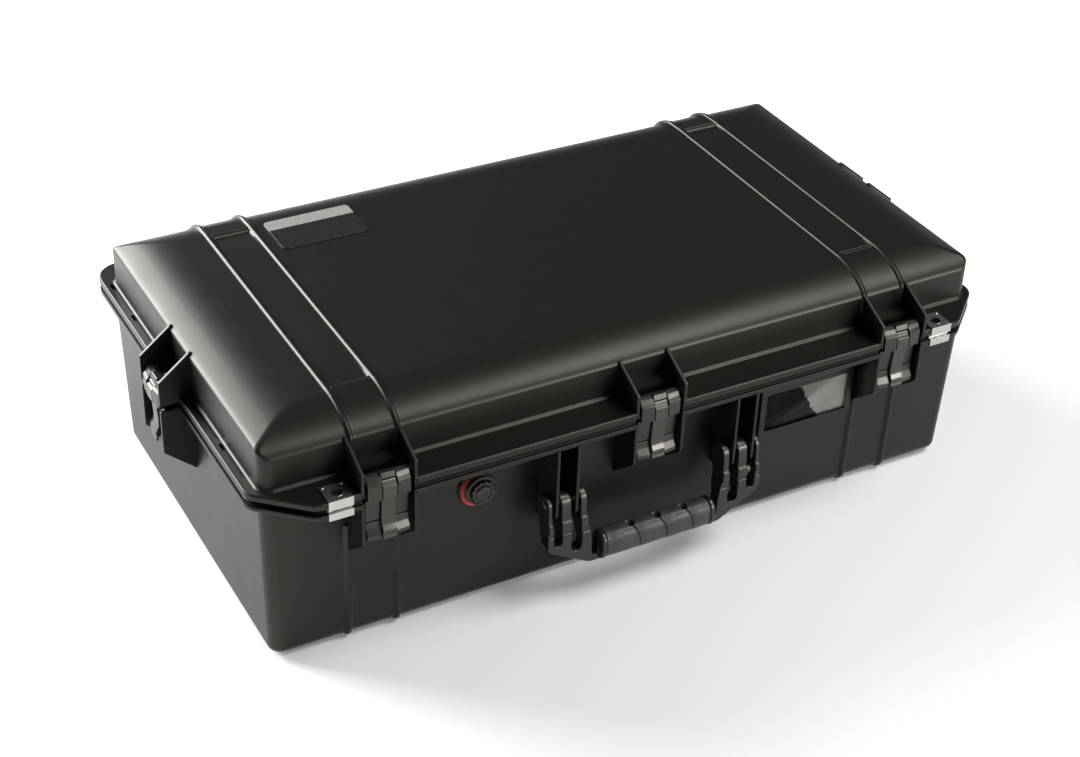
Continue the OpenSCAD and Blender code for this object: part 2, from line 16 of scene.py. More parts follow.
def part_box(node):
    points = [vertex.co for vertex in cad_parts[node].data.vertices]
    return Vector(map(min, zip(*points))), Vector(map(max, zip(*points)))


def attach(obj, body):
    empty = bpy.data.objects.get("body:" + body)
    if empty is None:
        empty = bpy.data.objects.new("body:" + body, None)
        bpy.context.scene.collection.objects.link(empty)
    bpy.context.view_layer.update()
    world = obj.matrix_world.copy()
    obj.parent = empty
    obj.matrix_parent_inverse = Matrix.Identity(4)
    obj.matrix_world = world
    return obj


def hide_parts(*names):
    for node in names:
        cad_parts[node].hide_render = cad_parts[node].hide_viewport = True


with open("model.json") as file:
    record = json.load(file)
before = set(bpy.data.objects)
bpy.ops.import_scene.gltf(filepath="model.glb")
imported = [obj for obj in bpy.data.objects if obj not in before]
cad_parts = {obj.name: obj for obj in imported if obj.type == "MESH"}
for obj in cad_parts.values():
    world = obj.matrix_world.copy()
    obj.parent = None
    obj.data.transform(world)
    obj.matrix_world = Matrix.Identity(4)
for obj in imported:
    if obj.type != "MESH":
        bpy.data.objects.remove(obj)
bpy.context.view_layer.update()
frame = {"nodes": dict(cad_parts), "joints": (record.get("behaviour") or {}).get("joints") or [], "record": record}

MM = 0.001
IDENTITY = Matrix.Identity(4)


# ---- places from the frame

JOINTS = {joint["name"]: joint for joint in frame["joints"]}
PARTING_HEIGHT = 153.75
DATUM = Vector((0, 0, JOINTS["lid_hinge"]["pos_m"][2] / MM - PARTING_HEIGHT))


def box_mm(node):
    """Lowest and highest corner of a CAD node, in millimetres."""
    low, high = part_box(node)
    return low / MM - DATUM, high / MM - DATUM


def pivot_mm(joint):
    return Vector(JOINTS[joint]["pos_m"]) / MM - DATUM


def turned(degrees, axis):
    return Matrix.Rotation(math.radians(degrees), 4, axis)


def station(latch):
    """Matrix of a latch: its origin on the latch's pivot, its -Y pointing outwards."""
    axis = JOINTS[f"latch_{latch}_swing"]["axis"]
    turn = math.atan2(-axis[1], -axis[0])
    return Matrix.Translation(pivot_mm(f"latch_{latch}_swing")) @ Matrix.Rotation(turn, 4, "Z")


FRONT_LATCHES = ["front_left", "front_centre", "front_right"]
SIDE_LATCHES = ["side_left", "side_right"]
LATCHES = FRONT_LATCHES + SIDE_LATCHES
SIDES = ((-1, "left"), (1, "right"))

lid_top = box_mm("label_plate")[0].z
PADLOCK_PLATE_T = 1.2
flange_top = box_mm("padlock_plate_lid_left")[1].z - PADLOCK_PLATE_T
base_lip_low = box_mm("padlock_plate_base_left")[0].z + PADLOCK_PLATE_T
parting = pivot_mm("lid_hinge").z
hinge_y = pivot_mm("lid_hinge").y
pivot_z = pivot_mm("latch_front_left_swing").z
latch_x = pivot_mm("latch_front_right_swing").x
handle_pivot = pivot_mm("handle_swing")
front_edge = -box_mm("padlock_plate_lid_left")[0].y - PADLOCK_PLATE_T

# Lid: foot of its walls, creases where the dome starts, edges of the flat top
LID_X = 337.5
LID_Y = 175.5
FRONT_CREASE = 190.5
SIDE_CREASE = 198.0
FLAT_X = 290.0
FLAT_Y = 133.0
CORNER = 11.0
WALL = 4.0
RIB_IN = latch_x - 22.1
RIB_OUT = latch_x + 17.9
RIB_RISE = 1.5
RIB_HALF = 1.3

# Flange
FLANGE_X = 348.0
FLANGE_CORNER = 24.0
REAR_EDGE = 202.0
GROOVE = 3.0
LID_RIM = parting + 0.15
BASE_RIM = parting - 0.15
LID_LIP = 157.0
BASE_LIP_TOP = 151.5

# Base tub
TOP_X, TOP_Y = 338.5, 178.0
LOW_X, LOW_Y = 335.0, 174.5
TUB_BOTTOM = -5.6
FLOOR_R = 9.0
CAVITY_X, CAVITY_Y, CAVITY_R = 331.5, 171.0, 18.0

# Latch flanks, around a latch's pivot
PIVOT_IN = 11.5
FLANK_HALF = 22.5
FLANK_T = 2.6
# Reach of the flanks behind the pivot, and the height of their upper or lower end
LID_FRONT_FLANKS = (20, 194.6)
LID_SIDE_FLANKS = (15, 202)
BASE_FRONT_FLANKS = (18, 86)
BASE_SIDE_FLANKS = (15, 88)
# Heights over the pivot: floor of the pocket behind a latch, front end of the flanks' slope
POCKET_FLOOR = 6
SLOPE_FOOT = 13.5

# Places along X, from the middle: base ribs, handle brackets, hinge knuckles
BASE_RIBS = (224, 267.8)
BRACKETS = (76.5, 95.2)
LID_KNUCKLE = (235.4, 254.2)
BASE_KNUCKLES = ((222, 235), (254.6, 267.6))
KNUCKLE_R = 8
HINGE_BORE_R = 2.6

# Drain slots in the flange beside the lid's end walls: along X, along Y, depth
SLOT_X = (340.2, 343.2)
SLOTS_Y = ((-148, -100), (-93, -41), (65, 110), (114, 166))
SLOT_DEPTH = 3

# Padlock eyes and their steel plates
EYE_R = 4.5
EYE_Y = -198.7
SLEEVE_R = 5.7


# ---- materials

class Surface:
    """A material in the making, with ways to add nodes to it."""

    def __init__(self, name):
        self.material = bpy.data.materials.new(name)
        self.material.use_nodes = True
        self.nodes = self.material.node_tree.nodes

    def fill(self, node, inputs):
        """Sets a node's inputs to values, or links them to outputs of other nodes."""
        for key, value in inputs.items():
            if isinstance(value, bpy.types.NodeSocket):
                self.material.node_tree.links.new(value, node.inputs[key])
            else:
                node.inputs[key].default_value = value

    def finish(self, inputs):
        self.fill(self.nodes["Principled BSDF"], inputs)
        return self.material

    def node(self, kind, result, inputs):
        node = self.nodes.new(kind)
        self.fill(node, inputs)
        return node.outputs[result]

    def place(self):
        return self.node("ShaderNodeTexCoord", "Object", {})

    def axis(self, letter):
        return self.node("ShaderNodeSeparateXYZ", letter, {"Vector": self.place()})

    def noise(self, scale, detail, roughness=0.5, stretch=(1, 1, 1)):
        """A noise texture in object space; scale is in features per metre."""
        place = self.node("ShaderNodeMapping", "Vector", {"Scale": stretch, "Vector": self.place()})
        return self.node("ShaderNodeTexNoise", "Fac", {"Vector": place, "Scale": scale,
            "Detail": detail, "Roughness": roughness})

    def spread(self, value, low, high, from_low=0.3, from_high=0.7):
        """Maps a noise value onto low..high."""
        return self.node("ShaderNodeMapRange", "Result", {"Value": value, "From Min": from_low,
            "From Max": from_high, "To Min": low, "To Max": high})

    def ramp(self, value, dark, light, stops=(0.3, 0.7)):
        node = self.nodes.new("ShaderNodeValToRGB")
        for element, stop, colour in zip(node.color_ramp.elements, stops, (dark, light)):
            element.position = stop
            element.color = (*colour, 1)
        self.fill(node, {"Fac": value})
        return node.outputs["Color"]

    def mix(self, factor, a, b):
        node = self.nodes.new("ShaderNodeMix")
        node.data_type = "RGBA"
        self.fill(node, {"Factor": factor, "A": a, "B": b})
        return node.outputs["Result"]

    def multiply_add(self, value, factor, addend):
        node = self.nodes.new("ShaderNodeMath")
        node.operation = "MULTIPLY_ADD"
        self.fill(node, {0: value, 1: factor, 2: addend})
        return node.outputs["Value"]

    def bump(self, height, strength, distance_mm):
        self.finish({"Normal": self.node("ShaderNodeBump", "Normal", {"Height": height,
            "Strength": strength, "Distance": distance_mm * MM})})


def shaded(shade, factor):
    return tuple(c * factor for c in shade)


def moulded_plastic(name, shade, roughness, grain_mm, grain_depth, edge_highlight, gloss):
    """Black moulded polymer: eroded grain, faint cloudiness, sharp edges painted a little lighter as a highlight.
    """
    surface = Surface(name)
    colour = surface.ramp(surface.noise(9, 4), shaded(shade, 0.94), shaded(shade, 1.06))
    if edge_highlight:
        # painted highlight: sharp edges and crests are lightened where they would catch the light
        pointed = surface.node("ShaderNodeNewGeometry", "Pointiness", {})
        edge = surface.spread(pointed, 0, edge_highlight, 0.52, 0.62)
        colour = surface.mix(edge, colour, (*shaded(shade, 2.4), 1))
    surface.bump(surface.noise(1 / (grain_mm * MM), 2, 0.55), 1.0, grain_depth)
    patches = surface.spread(surface.noise(55, 3), roughness - 0.012, roughness + 0.015)
    return surface.finish({"Base Color": colour, "Roughness": patches,
        "Specular IOR Level": gloss, "Specular Tint": (1, 0.95, 0.86, 1)})


def brushed_steel(name):
    surface = Surface(name)
    streaks = surface.noise(260, 3, 0.6, (1, 14, 14))
    surface.bump(streaks, 0.35, 0.03)
    tone = surface.ramp(streaks, (0.42, 0.42, 0.40), (0.60, 0.60, 0.575), (0.25, 0.75))
    return surface.finish({"Base Color": tone, "Metallic": 1.0,
        "Roughness": surface.spread(streaks, 0.18, 0.30)})


def soft_foam(name, shade):
    """Open-cell foam: small pits, with painted shade darkening them and their rims painted a little lighter."""
    surface = Surface(name)
    pits = surface.node("ShaderNodeTexVoronoi", "Distance", {"Vector": surface.place(), "Scale": 620})
    surface.bump(pits, 0.9, 0.5)
    # painted shade: darker at the bottom of the pits, lighter on the rims between them
    tone = surface.ramp(pits, shaded(shade, 0.55), shaded(shade, 1.25), (0.05, 0.75))
    return surface.finish({"Base Color": tone, "Roughness": 0.95, "Sheen Weight": 0.25,
        "Sheen Roughness": 0.6})


def rubber(name, shade, roughness):
    surface = Surface(name)
    patches = surface.noise(70, 4)
    grain_mm, grain_depth = 0.9, 0.03
    surface.bump(surface.noise(1 / (grain_mm * MM), 3), 1.0, grain_depth)
    return surface.finish({"Base Color": surface.ramp(patches, shaded(shade, 0.8), shaded(shade, 1.2)),
        "Roughness": surface.spread(patches, roughness - 0.05, roughness + 0.08)})


def clear_sheet(name):
    """Clear glossy sheet over the card, with a faint ripple."""
    surface = Surface(name)
    ripple = surface.noise(45, 2)
    surface.bump(ripple, 0.4, 0.2)
    return surface.finish({"Base Color": surface.ramp(ripple, (0.010,) * 3, (0.016, 0.016, 0.015)),
        "Alpha": 0.06, "Roughness": surface.spread(ripple, 0.08, 0.16)})


def split_card(name, edge_x, lean, centre_z):
    """Dark card with a painted reflection: pale to the right of a ragged, leaning edge, standing for a light seen
    in the clear window; positions in metres.
    """
    surface = Surface(name)
    wobble, half_soft = 0.016, 0.0004
    along_x = surface.multiply_add(surface.axis("X"), 1, -lean * centre_z - edge_x)
    past_edge = surface.multiply_add(surface.axis("Z"), lean, along_x)
    reflection_edge = surface.multiply_add(surface.noise(150, 5, 0.7), wobble, past_edge)
    mask = surface.spread(reflection_edge, 0, 1, wobble / 2 - half_soft, wobble / 2 + half_soft)
    # painted reflection: the pale part stands for a light reflected in the clear window
    pale = surface.ramp(surface.noise(60, 4), (0.80, 0.78, 0.72), (0.98, 0.96, 0.90), (0.35, 0.65))
    card = surface.mix(mask, (0.008, 0.008, 0.008, 1), pale)
    return surface.finish({"Base Color": card, "Roughness": 0.35})


def two_tone_label(name, band_y):
    """Blank printed plate: a silver band along the rear, dark grey in front; band_y in metres."""
    surface = Surface(name)
    half_soft = 0.0003
    mask = surface.spread(surface.axis("Y"), 0, 1, band_y - half_soft, band_y + half_soft)
    speckle = surface.noise(900, 2)
    silver, grey = (surface.ramp(speckle, dark, light, (0.35, 0.65)) for dark, light in (
        ((0.18, 0.18, 0.17), (0.26, 0.26, 0.245)), ((0.008,) * 3, (0.013, 0.013, 0.012))))
    return surface.finish({"Base Color": surface.mix(mask, grey, silver),
        "Roughness": surface.spread(speckle, 0.3, 0.38), "Specular IOR Level": 0.3})


SHELL = moulded_plastic("shell_polymer", (0.0052, 0.0047, 0.0036), 0.38, 0.7, 0.012, 0.4, 0.32)
DOME = moulded_plastic("dome_polymer", (0.0052, 0.0047, 0.0036), 0.38, 0.6, 0.006, 0, 0.32)
LATCH = moulded_plastic("latch_polymer", (0.010, 0.0096, 0.0086), 0.34, 0.7, 0.010, 0.5, 0.5)
TRIGGER = moulded_plastic("trigger_polymer", (0.018, 0.017, 0.015), 0.30, 0.7, 0.008, 0.5, 0.6)
STEEL = brushed_steel("brushed_steel")
SEAL = rubber("seal_rubber", (0.012, 0.012, 0.012), 0.6)
RED = rubber("red_rubber", (0.48, 0.03, 0.025), 0.45)
GRIP = rubber("grip_rubber", (0.026, 0.025, 0.023), 0.48)
FOAM = soft_foam("charcoal_foam", (0.030, 0.030, 0.032))


# ---- mesh helpers

def unit(vector):
    return vector / vector.length


def rounded(rows, steps=5):
    """Outline from rows of (a, b, corner radius), with round corners as arcs."""
    points = []
    count = len(rows)
    for i, (a, b, radius) in enumerate(rows):
        here = Vector((a, b))
        if radius == 0:
            points.append(here)
            continue
        back = unit(Vector(rows[i - 1][:2]) - here)
        ahead = unit(Vector(rows[(i + 1) % count][:2]) - here)
        half = back.angle(ahead) / 2
        centre = here + unit(back + ahead) * radius / math.sin(half)
        start = here + back * radius / math.tan(half) - centre
        stop = here + ahead * radius / math.tan(half) - centre
        sweep = math.atan2(start.x * stop.y - start.y * stop.x, start.dot(stop))
        for k in range(steps + 1):
            turn = sweep * k / steps
            points.append(centre + Vector((start.x * math.cos(turn) - start.y * math.sin(turn),
                start.x * math.sin(turn) + start.y * math.cos(turn))))
    return points


def close_up(bm, weld=1e-4):
    """Welds a bmesh and turns its faces outwards."""
    bmesh.ops.remove_doubles(bm, verts=bm.verts, dist=weld)
    bmesh.ops.dissolve_degenerate(bm, edges=bm.edges, dist=weld)
    bmesh.ops.recalc_face_normals(bm, faces=bm.faces)


def skin(bm, rows):
    """Faces between closed rows of vertices."""
    for a, b in zip(rows, rows[1:]):
        for k in range(len(a)):
            j = (k + 1) % len(a)
            bm.faces.new((a[k], a[j], b[j], b[k]))


def sheet(bm, grid):
    """Faces over a grid of vertices."""
    for a, b in zip(grid, grid[1:]):
        for j in range(len(a) - 1):
            bm.faces.new((a[j], b[j], b[j + 1], a[j + 1]))


def thinned(values, gap):
    """Values in order, without those that the next one follows within the gap."""
    ordered = sorted(values)
    return [a for a, b in zip(ordered, ordered[1:] + [math.inf]) if b - a > gap]


def soften(bm, width, steps=2, angle=35):
    """Rounds every edge sharper than the angle."""
    sharp = [e for e in bm.edges if len(e.link_faces) == 2
        and e.calc_face_angle() > math.radians(angle)]
    bmesh.ops.bevel(bm, geom=sharp, offset=width, segments=steps, profile=0.5, affect="EDGES",
        clamp_overlap=False)


def plate(outline, low, high, edge, place=IDENTITY, steps=2):
    """A plate drawn in Y and Z, extruded along X from low to high, with rounded edges."""
    bm = bmesh.new()
    left, right = ([bm.verts.new((x, p[0], p[1])) for p in outline] for x in (low, high))
    bm.faces.new(left)
    bm.faces.new(right)
    skin(bm, [left, right])
    bmesh.ops.recalc_face_normals(bm, faces=bm.faces)
    if edge:
        soften(bm, edge, steps)
    bmesh.ops.transform(bm, matrix=place, verts=bm.verts)
    return bm


def block(low, high, edge=0, place=IDENTITY):
    """A box with rounded edges."""
    outline = [(low[1], low[2]), (high[1], low[2]), (high[1], high[2]), (low[1], high[2])]
    return plate(outline, low[0], high[0], edge, place)


def lathe(profile, place=IDENTITY, steps=48, ring=False):
    """A body turned about X from a profile of (x, radius)."""
    turns = [math.tau * k / steps for k in range(steps)]
    bm = loft([[(x, r * math.cos(turn), r * math.sin(turn)) for turn in turns] for x, r in profile],
        ring)
    bmesh.ops.transform(bm, matrix=place, verts=bm.verts)
    return bm


def loft(loops, ring=False):
    """A skin over loops of points, closed at its ends or, as a ring, from the last to the first."""
    bm = bmesh.new()
    rows = [[bm.verts.new(p) for p in loop] for loop in loops]
    if ring:
        skin(bm, rows + rows[:1])
    else:
        skin(bm, rows)
        bm.faces.new(rows[0])
        bm.faces.new(rows[-1])
    close_up(bm)
    return bm


def add_object(name, data):
    thing = bpy.data.objects.new(name, data)
    bpy.context.scene.collection.objects.link(thing)
    return thing


def joined(name, parts):
    """One mesh, in metres and in the shared frame, from bmesh parts drawn in millimetres."""
    whole = bmesh.new()
    for part in parts:
        mesh = bpy.data.meshes.new("part")
        part.to_mesh(mesh)
        whole.from_mesh(mesh)
        bpy.data.meshes.remove(mesh)
        part.free()
    bmesh.ops.translate(whole, vec=DATUM, verts=whole.verts)
    bmesh.ops.scale(whole, vec=(MM, MM, MM), verts=whole.verts)
    mesh = bpy.data.meshes.new(name)
    whole.to_mesh(mesh)
    whole.free()
    return mesh


def weigh_normals(piece):
    piece.modifiers.new("normals", "WEIGHTED_NORMAL").keep_sharp = True


def bevel_edges(piece, width_mm, steps, degrees):
    bevel = piece.modifiers.new("edges", "BEVEL")
    bevel.width = width_mm * MM
    bevel.segments = steps
    bevel.limit_method = "ANGLE"
    bevel.angle_limit = math.radians(degrees)
    return bevel


def make_piece(name, parts, material, body, replaces=(), smooth_angle=40, weighted=True):
    """Joins parts into one piece that rides on a body."""
    mesh = joined(name, parts)
    mesh.materials.append(material)
    mesh.shade_smooth()
    mesh.set_sharp_from_angle(angle=math.radians(smooth_angle))
    piece = add_object(name, mesh)
    if weighted:
        weigh_normals(piece)
    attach(piece, body)
    if replaces:
        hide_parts(*replaces)
    return piece


def cut_away(piece, cutters):
    """Subtracts closed bmesh cutters, in millimetres, from a piece."""
    tool = add_object("cutter", joined("cutter", cutters))
    boolean = piece.modifiers.new("cut", "BOOLEAN")
    boolean.operation = "DIFFERENCE"
    boolean.solver = "EXACT"
    boolean.use_self = True
    boolean.object = tool
    cut = piece.evaluated_get(bpy.context.evaluated_depsgraph_get())
    mesh = bpy.data.meshes.new_from_object(cut)
    piece.modifiers.remove(boolean)
    piece.data = mesh
    bpy.data.objects.remove(tool)


def dress(node, material, edge):
    """Gives a CAD node its material and rounds its edges a little."""
    piece = frame["nodes"][node]
    if not piece.material_slots:
        piece.data.materials.append(material)
    for holder in piece.material_slots:
        holder.material = material
    weld = piece.modifiers.new("weld", "WELD")
    weld.merge_threshold = 0.01 * MM
    bevel_edges(piece, edge, 2, 38).use_clamp_overlap = False
    weigh_normals(piece)


# ---- plan outlines

def upright(x, y, z=0):
    """Stands a body that was turned about X upright at a place in plan."""
    return Matrix.Translation((x, y, z)) @ turned(-90, "Y")


def upright_rod(centre, radius, low, high):
    return lathe([(low, radius), (high, radius)], upright(centre.x, centre.y), 40)


def prism(outline, low, high, centre=Vector((0, 0, 0))):
    """An upright prism over a plan outline, moved to a centre."""
    return loft([[(centre.x + p.x, centre.y + p.y, z) for p in outline] for z in (low, high)])


def between(low, high, pitch):
    """Evenly spaced values from low to high, about pitch apart."""
    count = max(1, round((high - low) / pitch))
    return [low + (high - low) * i / count for i in range(count + 1)]


CORNER_STEPS = 12


def plan_loop(half_x, half_y, radius, xs, ys, z, rise=None, normal=(0, 0)):
    """Rounded rectangle at height z, with columns at xs and ys; rise(x, rear) lifts the front
    and rear columns along the profile's normal, given as its outward and upward share."""
    loop = []
    rows = [[(x, -half_y) for x in xs], [(half_x, y) for y in ys],
        [(x, half_y) for x in reversed(xs)], [(-half_x, y) for y in reversed(ys)]]
    for quarter, (east, north) in enumerate([(1, -1), (1, 1), (-1, 1), (-1, -1)]):
        cx, cy = east * (half_x - radius), north * (half_y - radius)
        for x, y in rows[quarter]:
            lift = rise(x, y > 0) if rise and quarter in (0, 2) else 0
            out = math.copysign(lift * normal[0], y)
            loop.append((x, y + out, z + lift * normal[1]))
        for k in range(CORNER_STEPS + 1):
            turn = math.pi / 2 * (quarter - 1 + k / CORNER_STEPS)
            loop.append((cx + radius * math.cos(turn), cy + radius * math.sin(turn), z))
    return loop


def flange_outline(inset):
    """The flange in plan: padlock ears at the two front corners, rounded rear corners."""
    x, front, rear = FLANGE_X - inset, front_edge - inset, REAR_EDGE - inset
    ear = 38 + 0.4 * inset
    return rounded([(-x, rear, FLANGE_CORNER), (x, rear, FLANGE_CORNER), (x, -front + ear, 16),
        (x - ear * 1.13, -front, 16), (-x + ear * 1.13, -front, 16), (-x, -front + ear, 16)], 8)


def around(outline, z):
    """Samples a closed outline where rays from the centre, at the angles TURNS, cross it."""
    crossings = []
    for turn in TURNS:
        ray = Vector((math.cos(turn), math.sin(turn)))
        for i, a in enumerate(outline):
            b = outline[(i + 1) % len(outline)]
            across = (b - a).x * ray.y - (b - a).y * ray.x
            if abs(across) < 1e-12:
                continue
            share = (a.y * ray.x - a.x * ray.y) / across
            point = a + (b - a) * share
            if -1e-9 <= share <= 1 + 1e-9 and point.dot(ray) > 0:
                crossings.append((point.x, point.y, z))
                break
    return crossings


def rectangle_outline(half_x, half_y, radius):
    return rounded([(-half_x, half_y, radius), (half_x, half_y, radius), (half_x, -half_y, radius),
        (-half_x, -half_y, radius)], 8)


def flange_turns():
    """Angles that catch every corner of the flange and of the body."""
    outlines = [flange_outline(0), flange_outline(GROOVE), rectangle_outline(LID_X, LID_Y, CORNER)]
    turns = {round(math.atan2(p.y, p.x), 5) for outline in outlines for p in outline}
    turns |= {round(math.tau * k / 180 - math.pi, 5) for k in range(180)}
    return thinned(turns, 2e-4)


TURNS = flange_turns()


def flange_ring(inner, edges, top, seat=()):
    """A ring from an inner outline out to flange edges, given as (inset, height), and back."""
    rings = [*seat, *((flange_outline(inset), z) for inset, z in edges), (inner, top)]
    return loft([around(outline, z) for outline, z in rings], True)


def mirrored(side, ends):
    """A span along X, moved to the side -1 or 1, from its lower to its higher end."""
    return sorted(side * x for x in ends)


# ---- lid

# Cross-section of a rib on the dome: distance from its middle, share of its height
RIB_SECTION = [(0, 1), (0.5, 0.985), (0.95, 0.93), (1.35, 0.8), (1.7, 0.56), (2.05, 0.28), (2.45, 0.1),
    (3.0, 0.02), (3.8, 0)]
# Rear shoulders of the ribs: width and height of each hump, and lift of the strip between them
HUMP_HALF = 9.5
HUMP_RISE = 2.3
STRIP_RISE = 1.0
# Ends of the sunk panels: distance from the end of the flat top, height
PANEL_END = [(0, 0), (0.8, 0.6), (1.6, 0.8), (2.2, 0.5), (2.9, -1.5), (3.6, -1.5), (4.3, 0.2), (5.0, 0.5),
    (5.7, 0.2), (6.7, -1.2), (7.6, -1.4), (14, -1.0), (30, 0)]
# Exponent of the curve of the dome's front and rear
FRONT_BEND = 1.6
# Ends of the dome: share of its height, share of its length still to go to the flat top
DOME_END = [(0, 1), (0.08, 0.995), (0.16, 0.975), (0.26, 0.93), (0.5, 0.76), (0.7, 0.595), (0.84, 0.44),
    (0.93, 0.29), (0.98, 0.15), (1, 0)]


def ease(value):
    value = min(1, max(0, value))
    return value * value * (3 - 2 * value)


def along(profile, position):
    """Height of a profile, given as (position, height) points, at a position."""
    for (near, high), (far, low) in zip(profile, profile[1:]):
        if position <= far:
            return high + (low - high) * (position - near) / (far - near)
    return profile[-1][1]


def from_rib(x):
    return min(abs(abs(x) - RIB_IN), abs(abs(x) - RIB_OUT))


def rib_height(x):
    """Height of the nearest rib at x, as a share of its full rise."""
    return along(RIB_SECTION, from_rib(x))


def shoulder(x):
    """Broad swell of the rear of the dome round the ribs."""
    away = from_rib(x)
    swell = HUMP_RISE * ease(1 - away / HUMP_HALF)
    if RIB_IN < abs(x) < RIB_OUT:
        swell += STRIP_RISE * ease(away / HUMP_HALF)
    return swell


def dome_columns():
    xs = set(between(-FLAT_X, FLAT_X, 24))
    for side in (-1, 1):
        for rib in (RIB_IN, RIB_OUT):
            away = [d for d, share in RIB_SECTION] + [4.5, 6, 8]
            xs |= {side * rib + s * d for d in away for s in (-1, 1)}
    return thinned(xs, 0.2)


def dome_rows():
    ys = set(between(-FLAT_Y, FLAT_Y, 19))
    for side in (-1, 1):
        ys |= {side * (FLAT_Y - d) for d, height in PANEL_END}
    return sorted(ys)


def lid_levels():
    """Rings of the lid from the flange up: height, insets of end and front, normal, swell."""
    levels = []
    # rounded foot of the wall on the flange
    for z, flare in [(-3, 2.6), (0.05, 2.6), (0.5, 1.3), (1.3, 0.45), (2.6, 0)]:
        levels.append((flange_top + z, -flare, -flare, (1, 0), 1))
    levels.append((176, 0, 0, (1, 0), 1))
    levels.append((FRONT_CREASE, 0, 0, (1, 0), 1))
    run_y = LID_Y - FLAT_Y
    run_x = LID_X - FLAT_X
    rise_y = lid_top - FRONT_CREASE
    rise_x = lid_top - SIDE_CREASE
    for i in range(1, 27):
        turn = math.radians(90) * i / 26
        z = FRONT_CREASE + rise_y * math.sin(turn)
        bend = math.sin(turn) ** FRONT_BEND
        half_y = FLAT_Y + run_y * max(0, 1 - bend) ** (1 / FRONT_BEND)
        up = max(0, (z - SIDE_CREASE) / rise_x)
        half_x = FLAT_X + run_x * along(DOME_END, up)
        out = Vector((rise_y * math.cos(turn), run_y * math.sin(turn))).normalized()
        swell = ease((1 - math.sin(turn)) * 6)
        levels.append((z, LID_X - half_x, LID_Y - half_y, tuple(out), swell))
    return levels


def panel_height(x, y):
    """Height of the flat top: ribs, the sunk panels between them, their lips and end grooves."""
    height = RIB_RISE * rib_height(x)
    inside = ease((abs(x) - RIB_IN - 2) / 2.5) * ease((RIB_OUT - 2 - abs(x)) / 2.5)
    if inside == 0:
        return height
    return height + inside * along(PANEL_END, FLAT_Y - abs(y))


def lid_dome():
    """Outer skin of the lid, its ribs and panels, and the inner skin."""
    xs, ys = dome_columns(), dome_rows()
    bm = bmesh.new()
    rows = []
    for z, inset_x, inset_y, out, swell in lid_levels():
        half_x, half_y = LID_X - inset_x, LID_Y - inset_y
        inward = max(0, inset_x, inset_y)
        radius = max(CORNER - min(inset_x, 0) - 1.5 * inward, 4)
        radius = min(radius, 0.85 * (half_x - FLAT_X), 0.85 * (half_y - FLAT_Y))

        def rise(x, rear, swell=swell):
            return RIB_RISE * rib_height(x) + (shoulder(x) * swell if rear else 0)

        loop = plan_loop(half_x, half_y, max(radius, 0), xs, ys, z, rise, out)
        rows.append([bm.verts.new(p) for p in loop])
    skin(bm, rows)
    sheet(bm, [[bm.verts.new((x, y, lid_top + panel_height(x, y))) for y in ys] for x in xs])
    close_up(bm, 0.02)
    inner = []
    for z, inset in [(flange_top - 3, 0), (FRONT_CREASE - 2, 0), (200, 8), (lid_top - WALL, 38)]:
        inner.append(plan_loop(LID_X - WALL - inset, LID_Y - WALL - inset, CORNER - WALL,
            [-FLAT_X, FLAT_X], [-FLAT_Y, FLAT_Y], z))
    return [bm, loft(inner)]


def lid_flange():
    """The lid's flange ring, with a rounded top edge, the shadow groove and the seal groove."""
    groove_x = box_mm("lid_gasket")[1].x + 0.2
    groove_y = box_mm("lid_gasket")[1].y + 0.2
    groove_width, groove_top = 4.4, 157.6
    inner = rectangle_outline(LID_X - WALL, LID_Y - WALL, CORNER - WALL)
    seal_in = rectangle_outline(groove_x - groove_width, groove_y - groove_width, FLANGE_CORNER - 2)
    seal_out = rectangle_outline(groove_x, groove_y, FLANGE_CORNER + 2)
    seat = [(inner, LID_RIM), (seal_in, LID_RIM), (seal_in, groove_top), (seal_out, groove_top),
        (seal_out, LID_RIM)]
    edges = [(GROOVE + 0.4, LID_RIM), (GROOVE, LID_RIM + 0.4), (GROOVE, LID_LIP - 0.4),
        (GROOVE - 0.4, LID_LIP), (0.9, LID_LIP), (0.35, LID_LIP + 0.12), (0.08, LID_LIP + 0.5),
        (0, LID_LIP + 1), (0, flange_top - 1.5), (0.12, flange_top - 0.85), (0.45, flange_top - 0.4),
        (0.9, flange_top - 0.12), (1.5, flange_top)]
    return flange_ring(inner, edges, flange_top, seat)


def flank_pair(outline, place):
    half = FLANK_T / 2 + 0.12
    return [plate(outline, side * FLANK_HALF - half, side * FLANK_HALF + half, 0.5, place)
        for side in (-1, 1)]


def padlock_eye(end):
    """Centre of a padlock eye in plan, at the left or right end."""
    low, high = box_mm(f"padlock_plate_lid_{end}")
    return Vector(((low.x + high.x) / 2, EYE_Y, 0))


def lid_flanks(place, back, peak):
    """Flank walls of a latch on the lid, and the floor of the pocket between them."""
    lip, rise = LID_LIP - pivot_z, peak - pivot_z
    outline = rounded([(-PIVOT_IN, lip, 0.8), (back + 4, lip, 0), (back + 4, rise, 0),
        (back + 1, rise, 0), (-PIVOT_IN, SLOPE_FOOT, 1.6)])
    pocket = block((-FLANK_HALF, 9.5, -3), (FLANK_HALF, back + 3, POCKET_FLOOR), place=place)
    return flank_pair(outline, place) + [pocket]


